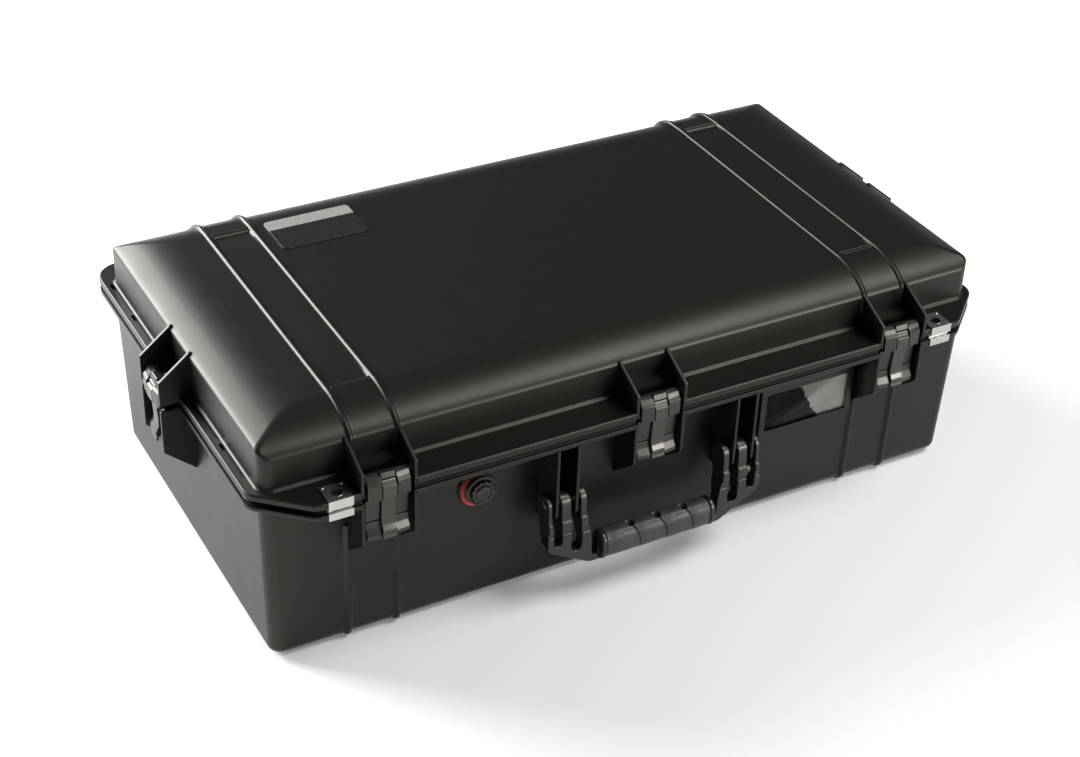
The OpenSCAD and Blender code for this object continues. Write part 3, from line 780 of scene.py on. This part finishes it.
def knuckle(low, high, joins_up):
    """A hinge knuckle with its arm to the flange, between two X positions."""
    soft = 0.6
    profile = [(low, HINGE_BORE_R), (low, KNUCKLE_R - 1.4), (low, KNUCKLE_R - soft),
        (low + soft, KNUCKLE_R), (high - soft, KNUCKLE_R), (high, KNUCKLE_R - soft),
        (high, KNUCKLE_R - 1.4), (high, HINGE_BORE_R)]
    parts = [lathe(profile, Matrix.Translation((0, hinge_y, parting)), 40)]
    way = 1 if joins_up else -1
    rim = LID_RIM if joins_up else BASE_RIM
    face = flange_top if joins_up else base_lip_low
    arm = [(REAR_EDGE - 4, rim + way * 0.1), (hinge_y, rim + way * 0.1),
        (hinge_y, parting + way * KNUCKLE_R), (hinge_y - 3, parting + way * KNUCKLE_R),
        (REAR_EDGE - 4, face)]
    parts.append(plate(arm, low + 0.3, high - 0.3, 0.3))
    return parts


def build_lid():
    make_piece("lid_moulding", lid_dome(), DOME, "lid", ["lid_shell"], 75)
    parts = []
    for latches, reach in ((FRONT_LATCHES, LID_FRONT_FLANKS), (SIDE_LATCHES, LID_SIDE_FLANKS)):
        for latch in latches:
            parts += lid_flanks(station(latch), *reach)
    for side in (-1, 1):
        parts += knuckle(*mirrored(side, LID_KNUCKLE), True)
    make_piece("lid_latch_walls", parts, SHELL, "lid", ())
    ring = make_piece("lid_flange_rim", [lid_flange()], SHELL, "lid", ())
    notch = (-FLANK_HALF, -PIVOT_IN - 5, -15), (FLANK_HALF, 7.5, 1)
    cutters = [block(*notch, place=station(latch)) for latch in LATCHES]
    for side, end in SIDES:
        low, high = mirrored(side, SLOT_X)
        for start, stop in SLOTS_Y:
            cutters.append(block((low, start, flange_top - SLOT_DEPTH), (high, stop, flange_top + 1)))
        cutters.append(upright_rod(padlock_eye(end), SLEEVE_R, LID_RIM - 1, flange_top + 1))
    cut_away(ring, cutters)


# ---- base

# Height of the wall's foot, over the round floor edge, and the height of the wall
WALL_FOOT = TUB_BOTTOM + FLOOR_R
WALL_RISE = base_lip_low + 1 - WALL_FOOT


def tub_levels():
    """Outer rings of the tub from the floor up: half sizes, radius, height."""
    levels = []
    for i in range(9):
        turn = math.radians(90) * i / 8
        inset = FLOOR_R * (1 - math.sin(turn))
        levels.append((LOW_X - inset, LOW_Y - inset, max(CORNER - inset, 4),
            TUB_BOTTOM + FLOOR_R * (1 - math.cos(turn))))
    for share in (0.25, 0.5, 0.75, 1):
        levels.append((LOW_X + (TOP_X - LOW_X) * share, LOW_Y + (TOP_Y - LOW_Y) * share, CORNER,
            WALL_FOOT + WALL_RISE * share))
    return levels


def base_tub():
    xs, ys = between(-300, 300, 60), between(-145, 145, 48)
    loops = [plan_loop(x, y, r, xs, ys, z) for x, y, r, z in tub_levels()]
    loops.append(plan_loop(CAVITY_X + 2, CAVITY_Y + 2, CAVITY_R, xs, ys, base_lip_low + 1))
    for x, y, r, z in [(CAVITY_X, CAVITY_Y, CAVITY_R, BASE_RIM - 1),
            (CAVITY_X, CAVITY_Y, CAVITY_R, WALL_FOOT),
            (CAVITY_X - 8, CAVITY_Y - 8, CAVITY_R - 4, TUB_BOTTOM + WALL)]:
        loops.append(plan_loop(x, y, r, xs, ys, z))
    return loft(loops)


def base_flange():
    """The base's flange ring with the upper groove step and rounded lower edge."""
    inner = rectangle_outline(CAVITY_X, CAVITY_Y, CAVITY_R)
    edges = [(GROOVE + 0.4, BASE_RIM), (GROOVE, BASE_RIM - 0.4), (GROOVE, BASE_LIP_TOP + 0.3),
        (GROOVE - 0.3, BASE_LIP_TOP), (0.8, BASE_LIP_TOP), (0.3, BASE_LIP_TOP - 0.15),
        (0, BASE_LIP_TOP - 0.8), (0, base_lip_low + 1.2), (0.3, base_lip_low + 0.4), (1, base_lip_low)]
    return flange_ring(inner, edges, base_lip_low, [(inner, BASE_RIM)])


def base_flanks(place, back, foot):
    outline = rounded([(-PIVOT_IN, BASE_LIP_TOP - pivot_z, 0.8), (-PIVOT_IN, 111 - pivot_z, 3),
        (back, foot - pivot_z, 1), (back + 3, foot - pivot_z, 0),
        (back + 3, BASE_LIP_TOP - pivot_z, 0)])
    ledge = block((-FLANK_HALF, 2.7, 139 - pivot_z),
        (FLANK_HALF, back + 2, BASE_LIP_TOP - pivot_z - 0.2), 0.4, place)
    return flank_pair(outline, place) + [ledge]


# Cross-section of a rib on the base: distance from its middle, share of its height
BASE_RIB_SECTION = [(0, 1), (1.1, 0.97), (1.8, 0.82), (2.4, 0.42), (3.4, 0.1), (4.8, -0.12)]
BASE_RIB_RISE = 2.5


def tub_path(way, top):
    """Points and normals of the tub's surface from a height down to the middle of the floor."""
    path = []
    for z in reversed(between(WALL_FOOT, top, 30)):
        path.append((way * (LOW_Y + (TOP_Y - LOW_Y) * (z - WALL_FOOT) / WALL_RISE), z, way, 0))
    for k in range(1, 13):
        turn = math.radians(90) * k / 12
        path.append((way * (LOW_Y - FLOOR_R + FLOOR_R * math.cos(turn)),
            WALL_FOOT - FLOOR_R * math.sin(turn), way * math.cos(turn), -math.sin(turn)))
    return path + [(0, TUB_BOTTOM, 0, -1)]


def base_rib(x):
    """A filleted rib down the front wall, under the floor and up the rear wall."""
    path = tub_path(-1, 112) + tub_path(1, base_lip_low + 1)[-2::-1]
    section = [(-d, share) for d, share in reversed(BASE_RIB_SECTION)]
    section += BASE_RIB_SECTION[1:]
    loops = []
    for y, z, out_y, out_z in path:
        loop = [(x + d, y + out_y * share * BASE_RIB_RISE, z + out_z * share * BASE_RIB_RISE)
            for d, share in section]
        reach = BASE_RIB_SECTION[-1][0]
        loop += [(x + d, y - out_y * 1.5, z - out_z * 1.5) for d in (reach, -reach)]
        loops.append(loop)
    return loft(loops)


def handle_bracket(x):
    half = RIB_HALF
    outline = rounded([(-LOW_Y + 1, base_lip_low + 1, 0), (-front_edge - 1, base_lip_low + 1, 0.8),
        (-front_edge - 1, handle_pivot.z - 10, 5), (handle_pivot.y + 4, handle_pivot.z - 14, 4),
        (-LOW_Y + 1, handle_pivot.z - 28, 0)])
    return plate(outline, x - half, x + half, 0.55)


def build_base():
    parts = [base_tub()]
    for latches, reach in ((FRONT_LATCHES, BASE_FRONT_FLANKS), (SIDE_LATCHES, BASE_SIDE_FLANKS)):
        for latch in latches:
            parts += base_flanks(station(latch), *reach)
    for side in (-1, 1):
        for x in BASE_RIBS:
            parts.append(base_rib(side * x))
        for x in BRACKETS:
            parts.append(handle_bracket(side * x))
        for span in BASE_KNUCKLES:
            ends = mirrored(side, span)
            parts += knuckle(*ends, False)
            gusset = [(LOW_Y, base_lip_low + 1), (hinge_y, parting - 7), (LOW_Y, 118)]
            parts.append(plate(gusset, ends[0] + 5, ends[1] - 5, 0.4))
    parts.append(lathe([(-5, 18.4), (-1.2, 18.4), (-0.4, 18.2), (0, 17.6), (0, 8)], valve_place()))
    card_low, card_high = box_mm("card_frame")
    parts.append(block((card_low.x - 1, card_high.y, card_low.z - 1),
        (card_high.x + 1, card_high.y + 5, card_high.z + 1), 0.6))
    make_piece("base_moulding", parts, SHELL, "base", ["base_shell"])
    ring = make_piece("base_flange_rim", [base_flange()], SHELL, "base", ())
    notch = (-FLANK_HALF, -PIVOT_IN - 5, -25), (FLANK_HALF, 2.7, -10)
    cutters = [block(*notch, place=station(latch)) for latch in FRONT_LATCHES]
    for side, end in SIDES:
        cutters.append(upright_rod(padlock_eye(end), SLEEVE_R, base_lip_low - 1, BASE_RIM + 1))
    cut_away(ring, cutters)


# ---- pressure valve

def valve_place():
    """The valve's seat face, with the lathe axis pointing out of the front wall."""
    centre = pivot_mm("valve_turn")
    face = box_mm("valve_seal")[1].y
    return Matrix.Translation((centre.x, face, centre.z)) @ turned(-90, "Z")


def fluted(bm, count, low, high, depth):
    """Presses flutes into the rim of a body turned about X, between two radii."""
    for vert in bm.verts:
        radius = math.hypot(vert.co.y, vert.co.z)
        if low < radius < high:
            turn = math.atan2(vert.co.z, vert.co.y)
            press = depth * max(0, math.cos(count * turn)) ** 2
            vert.co.y *= 1 - press / radius
            vert.co.z *= 1 - press / radius


def build_valve():
    """Stepped knob over a ringed collar, with the red seal showing round it."""
    place = valve_place()
    collar = lathe([(0.8, 8), (0.8, 13.9), (1.4, 14.3), (2.4, 14.3), (2.8, 13.9), (2.8, 5), (8.3, 5),
        (8.3, 2.4)], place)
    make_piece("valve_collar", [collar], LATCH, "base", ["valve_housing"])
    knob = lathe([(3.2, 5.2), (3.2, 13.2), (3.7, 13.8), (5.0, 13.8), (5.6, 13.3), (5.7, 12.2),
        (4.9, 11.6), (4.9, 10.9), (7.4, 10.5), (8.1, 10), (8.2, 8.3), (7.5, 7.8), (7.5, 6.9),
        (8.8, 6.3), (9.2, 5.8), (9.3, 3.2), (8.7, 2.8), (8.6, 0.01)], IDENTITY, 96)
    fluted(knob, 12, 9.2, 11.2, 1.1)
    fluted(knob, 6, 5.5, 6.6, 0.6)
    bmesh.ops.transform(knob, matrix=place, verts=knob.verts)
    make_piece("valve_knob_cap", [knob], LATCH, "valve_knob", ["valve_cap"], 35)
    # the seal has crept out a little at the lower left
    crept = Matrix.Translation((-1.5, 0, -1.5)) @ place
    ring = lathe([(0.02, 8.1), (0.02, 14.6), (0.35, 15.2), (0.8, 14.9), (0.8, 8.1)], crept, 64)
    make_piece("valve_red_ring", [ring], RED, "base", ["valve_seal"])


# ---- handle

FINGER_TOP_R = 9.4
# Heights and front faces shared by the three fingers of each end, from the hub downwards
FINGER_FRONT = [(86, -208.6), (80, -208.8), (75.6, -209.3), (75.1, -211.0), (66.6, -211.8),
    (66.1, -210.6), (60, -211.2), (52, -212)]


def handle_finger(side, widths):
    """A finger of the handle; widths are (height, inner x, outer x) from the top downwards."""
    hub_y, hub_z = handle_pivot.y, handle_pivot.z
    rows = []
    for angle in (80, 62, 44, 22, 0):
        turn = math.radians(angle)
        reach = FINGER_TOP_R * math.cos(turn)
        rows.append((hub_z + FINGER_TOP_R * math.sin(turn), hub_y - reach, hub_y + reach))
    for z, front in FINGER_FRONT:
        rows.append((z, front, min(hub_y + FINGER_TOP_R, hub_y - 1 + 0.35 * (z - 50))))
    loops = []
    for z, front, back in rows:
        inner = along([(-h, a) for h, a, b in widths], -z)
        outer = along([(-h, b) for h, a, b in widths], -z)
        loops.append([(side * inner, front, z), (side * outer, front, z), (side * outer, back, z),
            (side * inner, back, z)])
    bm = loft(loops)
    soften(bm, 0.55, 2, 30)
    return bm


OUTER_FINGER = [(110, 99.6, 102.7), (80, 99.6, 102.7), (70, 99.2, 103.1), (60, 98.5, 103.8),
    (40, 98.4, 103.8)]
MIDDLE_FINGER = [(110, 81.9, 90.3), (76, 81.9, 90.3), (75, 81.3, 90.9), (66.6, 81.3, 90.9),
    (66, 81.6, 90.4), (40, 81.6, 90.4)]
INNER_FINGER = [(110, 67.0, 72.3), (76, 67.0, 72.3), (75, 66.5, 72.6), (66.6, 66.2, 72.6),
    (66, 65.4, 71.8), (58, 62.9, 71.7), (40, 62, 71.7)]


def handle_bar():
    """Front view of the bar, with the rounded slots between the fingers."""
    half = [(-10, 26.4, 0), (64, 26.4, 14), (103.8, 49.5, 7), (103.8, 64, 0), (98.4, 64, 0),
        (98.4, 53, 3.8), (90.4, 53, 3.8), (90.4, 64, 0), (81.6, 64, 0), (81.6, 43.2, 4.6),
        (71.7, 43.2, 4.6), (71.7, 60, 0), (63.2, 60, 0), (61.6, 50, 3), (61.2, 33.8, 2.4),
        (55.9, 33.8, 2.4), (55.4, 47, 1.5), (50, 48.5, 0)]
    rows = half[1:] + [(-x, z, r) for x, z, r in reversed(half[1:])]
    outline = rounded([(-x, z, r) for x, z, r in rows])
    return plate(outline, -212, -200.5, 1.1, turned(90, "Z"), 3)


def grip_collar(side):
    """Rounded collar at an end of the grip."""
    loops = []
    for x, shrink in ((51.2, 0.7), (51.9, 0.1), (53.6, 0), (54.6, 0.3), (55.2, 1.0)):
        loops.append(grip_section(side * x, 0.6 - shrink, 48))
    return loft(loops)


GRIP_Y, GRIP_Z = -209.9, 41.3
GRIP_HALF_Y, GRIP_HALF_Z = 9.7, 12.6
GRIP_END = 51
GRIP_PITCH = 26.1
NOTCH_X = 1.4


def grip_section(x, grow, steps):
    """Squarish round section of the grip at x, grown by a distance."""
    points = []
    for k in range(steps):
        turn = math.tau * k / steps
        c, s = math.cos(turn), math.sin(turn)
        power = 2 / 2.5
        y = (GRIP_HALF_Y + grow) * math.copysign(abs(c) ** power, c)
        z = (GRIP_HALF_Z + grow) * math.copysign(abs(s) ** power, s)
        points.append(Vector((x, GRIP_Y - y, GRIP_Z + z)))
    return points


def grip_relief(x, turn):
    """Height of the grip's surface: finger bulges, curved grooves, notches and raised squares.
    The turn runs from 0 at the front over the top at 90 degrees."""
    degrees = math.degrees(turn)
    if degrees > 200:
        degrees -= 360
    relief = 0.0
    for k in (-1, 0, 1):
        notch_x = NOTCH_X + k * GRIP_PITCH
        # the groove drifts sideways as it comes down the front
        line = notch_x + 0.8 + 5.0 * ease((88 - degrees) / 110)
        if -32 < degrees < 92:
            relief -= 1.15 * math.exp(-((x - line) / 0.42) ** 2)
            if degrees < 55:
                relief += 0.5 * ease((x - line + 14) / 0.8) * ease((line - x) / 0.6)
        away = math.hypot(x - notch_x, (degrees - 94) / 90 * 15)
        relief -= 6 * ease((3.9 - away) / 1.1)
    bulge = 0.7 * math.cos(math.tau * (x - NOTCH_X - GRIP_PITCH / 2) / GRIP_PITCH)
    relief += bulge * max(0, math.cos(math.radians(degrees - 30)))
    from_end = GRIP_END - abs(x)
    return relief * ease(from_end / 2.2) - 1.1 * (1 - ease(from_end / 1.1))


def build_grip():
    ends = {side * (GRIP_END - d) for side in (-1, 1) for d in (0.25, 0.6, 1.0)}
    xs = set(between(-GRIP_END, GRIP_END, 1.6)) | ends
    for k in (-1, 0, 1):
        xs |= {NOTCH_X + k * GRIP_PITCH + 0.3 * i for i in range(-14, 28)}
    steps = 96
    loops = []
    for x in sorted(xs):
        loop = []
        for k, point in enumerate(grip_section(x, 0, steps)):
            out = Vector((0, point.y - GRIP_Y, point.z - GRIP_Z)).normalized()
            loop.append(point + out * grip_relief(x, math.tau * k / steps))
        loops.append(loop)
    make_piece("handle_grip_rubber", [loft(loops)], GRIP, "handle", ["handle_grip"],
        50, False)


def build_handle():
    parts = [handle_bar(), grip_collar(-1), grip_collar(1)]
    for side in (-1, 1):
        parts += [handle_finger(side, widths) for widths in (OUTER_FINGER, MIDDLE_FINGER, INNER_FINGER)]
    parts.append(lathe([(88, 3.6), (94.0, 3.6), (94.6, 3.0), (94.7, 0.01)],
        Matrix.Translation((0, -207.2, 70.6)), 24))
    make_piece("handle_moulding", parts, LATCH, "handle", ["handle_frame"], 35)


# ---- latches

COLUMN_IN, COLUMN_OUT = 6.75, 18.3
# Side column above the slit and its lip below, in the station's Y and Z with corner radii
COLUMN_UPPER = [(2, 4, 2), (-3.0, 6.6, 2.2), (-7.2, 5.2, 1.0), (-9.3, 1.6, 0.8), (-11.6, -0.6, 1.0),
    (-11.6, -14.6, 0.6), (-7.0, -15.4, 0.8), (-5.2, -37.6, 0.5), (2, -37.6, 1)]
COLUMN_LOWER = [(1, -38.5, 0.5), (-5.4, -38.5, 0.5), (-6.2, -44, 5), (-9.4, -50, 2.5), (-9.8, -53, 1.5),
    (-8, -54.4, 1.2), (-3.6, -53.6, 1)]
WEB = [(2, 4), (-4.4, 4), (-4.4, 1.2), (-1, 0), (-1, -37), (-3, -43), (-2, -50), (0, -46), (2, -37)]
TOP_BLOCK = [(0, 6.4, 1), (-6.9, 7.2, 1.0), (-9.0, 2.5, 0.5), (-3, 2.5, 0.5)]
TRIGGER_OUTLINE = [(-8.4, 1.3, 0.5), (-9.6, 0.4, 1.0), (-10.2, -1.5, 2), (-12.4, -3.6, 1.4),
    (-12.4, -14.6, 0.5), (-9.6, -15.3, 0.6), (-8.6, -33, 8), (-8.9, -41, 6), (-11.6, -45.8, 1.6),
    (-11.9, -48, 1.2), (-10.8, -50, 3), (-12.2, -53, 1.5), (-10.6, -54.6, 1.2), (-7.6, -54.2, 1),
    (-4.5, -40, 4), (-4.6, -12, 2), (-4.6, -2, 1), (-6, 1.3, 1)]


def crowned(outline, low, high, tilt, place):
    """A column whose front face is turned a little sideways, as on a crowned moulding."""
    bm = plate(outline, low, high, 0.45)
    for vert in bm.verts:
        if vert.co.y < -4:
            share = (vert.co.x - (low + high) / 2) * math.tan(math.radians(tilt))
            vert.co.y += share * min(1, (-4 - vert.co.y) / 3)
    bmesh.ops.transform(bm, matrix=place, verts=bm.verts)
    return bm


def build_latches():
    for latch in LATCHES:
        place = station(latch)
        parts = []
        for side in (-1, 1):
            ends = mirrored(side, (COLUMN_IN, COLUMN_OUT))
            for outline in (COLUMN_UPPER, COLUMN_LOWER):
                parts.append(crowned(rounded(outline), *ends, side * 7, place))
        parts.append(plate(WEB, -COLUMN_OUT + 0.6, COLUMN_OUT - 0.6, 0.3, place))
        parts.append(plate(rounded(TOP_BLOCK), -6.1, 6.1, 0.45, place))
        make_piece(f"latch_{latch}_lever", parts, LATCH, f"latch_{latch}", [f"latch_{latch}"],
            35)
        middle = [plate(rounded(TRIGGER_OUTLINE), -6.1, 6.1, 0.6, place)]
        make_piece(f"trigger_{latch}_button", middle, TRIGGER, f"trigger_{latch}",
            [f"trigger_{latch}"], 35)


# ---- padlock plates

def strip(outline, low, high, thickness):
    """A folded strip of sheet steel along an open outline in Y and Z."""
    line = [Vector(point) for point in outline]
    ways = [unit(b - a) for a, b in zip(line, line[1:])]
    out = []
    for point, before, after in zip(line, ways[:1] + ways, ways + ways[-1:]):
        normals = [Vector((-way.y, way.x)) for way in (before, after)]
        mitre = unit(normals[0] + normals[1])
        out.append(point + mitre * thickness / mitre.dot(normals[0]))
    return plate(line + out[::-1], low, high, 0.3)


def build_padlock_plates():
    thick, front = PADLOCK_PLATE_T, -front_edge
    for side, end in SIDES:
        low, high = box_mm(f"padlock_plate_lid_{end}")
        back = high.y
        upper = [(back, flange_top), (front, flange_top), (front, LID_LIP), (front + GROOVE, LID_LIP),
            (front + GROOVE, LID_RIM + 0.1)]
        lower = [(front + GROOVE, BASE_RIM - 0.1), (front + GROOVE, BASE_LIP_TOP), (front, BASE_LIP_TOP),
            (front, base_lip_low), (back, base_lip_low)]
        # two pressed bumps at the rear corners of the upper plate
        bumps = [lathe([(0, 1.7), (0.5, 1.5), (0.9, 0.9), (1.0, 0.01)],
            upright(x, back - 2.6, flange_top + thick - 0.1), 20) for x in (low.x + 2.6, high.x - 2.6)]
        for body, line, foot, head, extras in (
                ("lid", upper, LID_RIM + 0.05, flange_top + thick + 0.2, bumps),
                ("base", lower, base_lip_low - thick, BASE_RIM - 0.05, [])):
            eye = padlock_eye(end)
            parts = [strip(line, low.x, high.x, -thick), upright_rod(eye, SLEEVE_R - 0.05, foot, head)]
            piece = make_piece(f"padlock_{body}_{end}_plate", parts + extras, STEEL, body,
                [f"padlock_plate_{body}_{end}"], 35)
            cut_away(piece, [upright_rod(eye, EYE_R + 0.12, foot - 2, head + 2)])
            # painted shade: a thin dark rubber sleeve lines the eye so that the hole looks black
            painted_shade_liner = lathe([(foot + 0.6, EYE_R), (head - 0.6, EYE_R), (head - 0.6, EYE_R + 0.1),
                (foot + 0.6, EYE_R + 0.1)], upright(eye.x, eye.y), 40, True)
            make_piece(f"padlock_{body}_{end}_liner", [painted_shade_liner], SEAL, body, ())


# ---- foam

def base_foam():
    """The foam block, with a softened pocket for each thing that it holds."""
    low, high = box_mm("base_foam")
    slab = prism(rectangle_outline(high.x, high.y, CAVITY_R), low.z, high.z)
    piece = make_piece("base_foam_block", [slab], FOAM, "base", ["base_foam"], weighted=False)
    cutters = []
    for opening in frame["record"]["physics"]["openings"]:
        if "pocket" not in opening["name"]:
            continue
        a, b = (Vector(corner) / MM - DATUM for corner in opening["box_m"])
        middle, half = (a + b) / 2, (b - a) / 2
        # a pocket is a little larger than the room that it holds
        spare, spare_below = 5.5, 1.5
        outline = rectangle_outline(half.x + spare, half.y + spare, 12)
        cutters.append(prism(outline, a.z - spare_below, high.z + 5, middle))
    cut_away(piece, cutters)
    bevel_edges(piece, 2.2, 3, 40)
    piece.data.shade_smooth()


def lid_foam():
    """Egg-crate foam in the lid, its peaks towards the base."""
    low, high = box_mm("lid_foam")
    pitch, depth = 26.0, 11.0
    half_x, half_y = high.x, high.y
    xs, ys = between(-half_x, half_x, pitch / 8), between(-half_y, half_y, pitch / 8)
    margin = 8.0
    bm = bmesh.new()
    grid = [[] for x in xs]
    for column, x in zip(grid, xs):
        for y in ys:
            wave = (math.cos(math.tau * x / pitch) * math.cos(math.tau * y / pitch) + 1) / 2
            edge = ease(min(half_x - abs(x), half_y - abs(y)) / margin)
            px, py = rounded_corner_point(x, y, half_x, half_y, CORNER - WALL)
            column.append(bm.verts.new((px, py, low.z + 0.3 + depth * (1 - edge * wave))))
    sheet(bm, grid)
    rim = [column[0] for column in grid] + grid[-1][1:]
    rim += [column[-1] for column in grid[-2::-1]] + grid[0][-2:0:-1]
    above = [bm.verts.new((v.co.x, v.co.y, low.z + 24)) for v in rim]
    skin(bm, [rim, above])
    bm.faces.new(above)
    close_up(bm)
    piece = make_piece("lid_foam_crate", [bm], FOAM, "lid", ["lid_foam"], 60, False)


def rounded_corner_point(x, y, half_x, half_y, radius):
    """Moves a point of a rectangle's grid so that the rectangle's corners become round."""
    gap_x, gap_y = half_x - abs(x), half_y - abs(y)
    inset = min(gap_x, gap_y)
    past = max(gap_x, gap_y) - inset
    r = max(radius - inset, 0)
    if past >= r or r == 0:
        return x, y
    turn = math.radians(45) * (1 - past / r)
    near, far = r * (1 - math.cos(turn)), r * (1 - math.sin(turn))
    if gap_x < gap_y:
        gap_x, gap_y = inset + near, inset + far
    else:
        gap_x, gap_y = inset + far, inset + near
    return math.copysign(half_x - gap_x, x), math.copysign(half_y - gap_y, y)


def floor_pad():
    """Thin foam sheet on the floor, under the block."""
    low, high = box_mm("floor_pad")
    outline = rectangle_outline(high.x, high.y, 13)
    rings = [[(p.x * s, p.y * s, z) for p in outline]
        for s, z in ((0.99, low.z), (1, low.z + 2), (1, high.z - 2), (0.99, high.z))]
    piece = make_piece("floor_pad_sheet", [loft(rings)], FOAM, "base", ["floor_pad"])


# ---- stage

CAMERA_ANGLES = (-29.4907, 33.9816, 2.2006)
CAMERA_PLACE_M = Vector((-0.761848, -1.350269, 1.109812))


def make_camera():
    """The studio camera: above the front left corner, looking down on the case."""
    azimuth, elevation, roll = CAMERA_ANGLES
    data = bpy.data.cameras.new("camera")
    data.sensor_width = 36
    data.lens = 67.879
    data.clip_start, data.clip_end = 0.05, 60
    camera = add_object("camera", data)
    camera.matrix_world = (Matrix.Translation(CAMERA_PLACE_M + DATUM * MM)
        @ turned(azimuth, "Z") @ turned(90 - elevation, "X") @ turned(roll, "Z"))
    bpy.context.scene.camera = camera


def make_floor():
    bm = bmesh.new()
    bmesh.ops.create_circle(bm, cap_ends=True, radius=14, segments=96)
    mesh = bpy.data.meshes.new("floor")
    bm.to_mesh(mesh)
    bm.free()
    floor = add_object("floor", mesh)
    floor.location.z = -0.0005
    surface = Surface("pale_floor")
    tone = surface.ramp(surface.noise(0.6, 2), (0.86, 0.86, 0.855), (0.9, 0.9, 0.895))
    mesh.materials.append(surface.finish({"Base Color": tone, "Roughness": 0.8,
        "Specular IOR Level": 0.1}))


def make_world():
    world = bpy.data.worlds.new("studio")
    world.use_nodes = True
    backdrop = world.node_tree.nodes["Background"]
    backdrop.inputs["Color"].default_value = (1, 1, 1, 1)
    backdrop.inputs["Strength"].default_value = 0.13
    bpy.context.scene.world = world
    bpy.context.scene.view_settings.view_transform = "Standard"


def soft_light(name, place, width, height, power):
    """A soft rectangular light, in metres and watts, aimed at the middle of the case."""
    data = bpy.data.lights.new(name, "AREA")
    data.shape = "RECTANGLE"
    data.size, data.size_y = width, height
    data.energy = power
    light = add_object(name, data)
    light.location = place
    away = light.location - Vector((0, 0, 0.15))
    light.rotation_euler = away.to_track_quat("Z", "Y").to_euler()


# ---- assembly

make_camera()
make_floor()
make_world()
soft_light("key_rear_left", (-1.25, 1.75, 1.05), 1.9, 1.2, 155)
soft_light("overhead", (1.5, -1.1, 2.9), 1.9, 1.4, 76)
soft_light("front_right", (1.5, -2.5, 0.9), 1.3, 0.5, 60)

build_lid()
build_base()
build_valve()
build_handle()
build_grip()
build_latches()
build_padlock_plates()
base_foam()
lid_foam()
floor_pad()

# Depth of the label's dark part; the edge of the painted reflection on the card, from the card's left end, and its
# lean
LABEL_DARK = 34.5
REFLECTION_EDGE = 49
REFLECTION_LEAN = 0.58
label_low = box_mm("label_plate")[0]
dress("label_plate", two_tone_label("printed_label", (label_low.y + LABEL_DARK) * MM), 0.25)
card_low, card_high = box_mm("name_card")
card_middle = (card_low.z + card_high.z) / 2 + DATUM.z
dress("name_card", split_card("card_painted_reflection", (card_low.x + REFLECTION_EDGE) * MM, REFLECTION_LEAN,
    card_middle * MM), 0.1)
dress("card_window", clear_sheet("clear_sheet"), 0.1)
dress("card_frame", SHELL, 0.3)
for latch in LATCHES:
    dress(f"trigger_pin_{latch}", STEEL, 0.15)
    dress(f"spring_{latch}", STEEL, 0.05)
for node in ("latch_pins", "hinge_pin_left", "hinge_pin_right", "handle_pin_left", "handle_pin_right"):
    dress(node, STEEL, 0.3)
dress("lid_gasket", SEAL, 0.5)
dress("valve_nut", LATCH, 0.3)
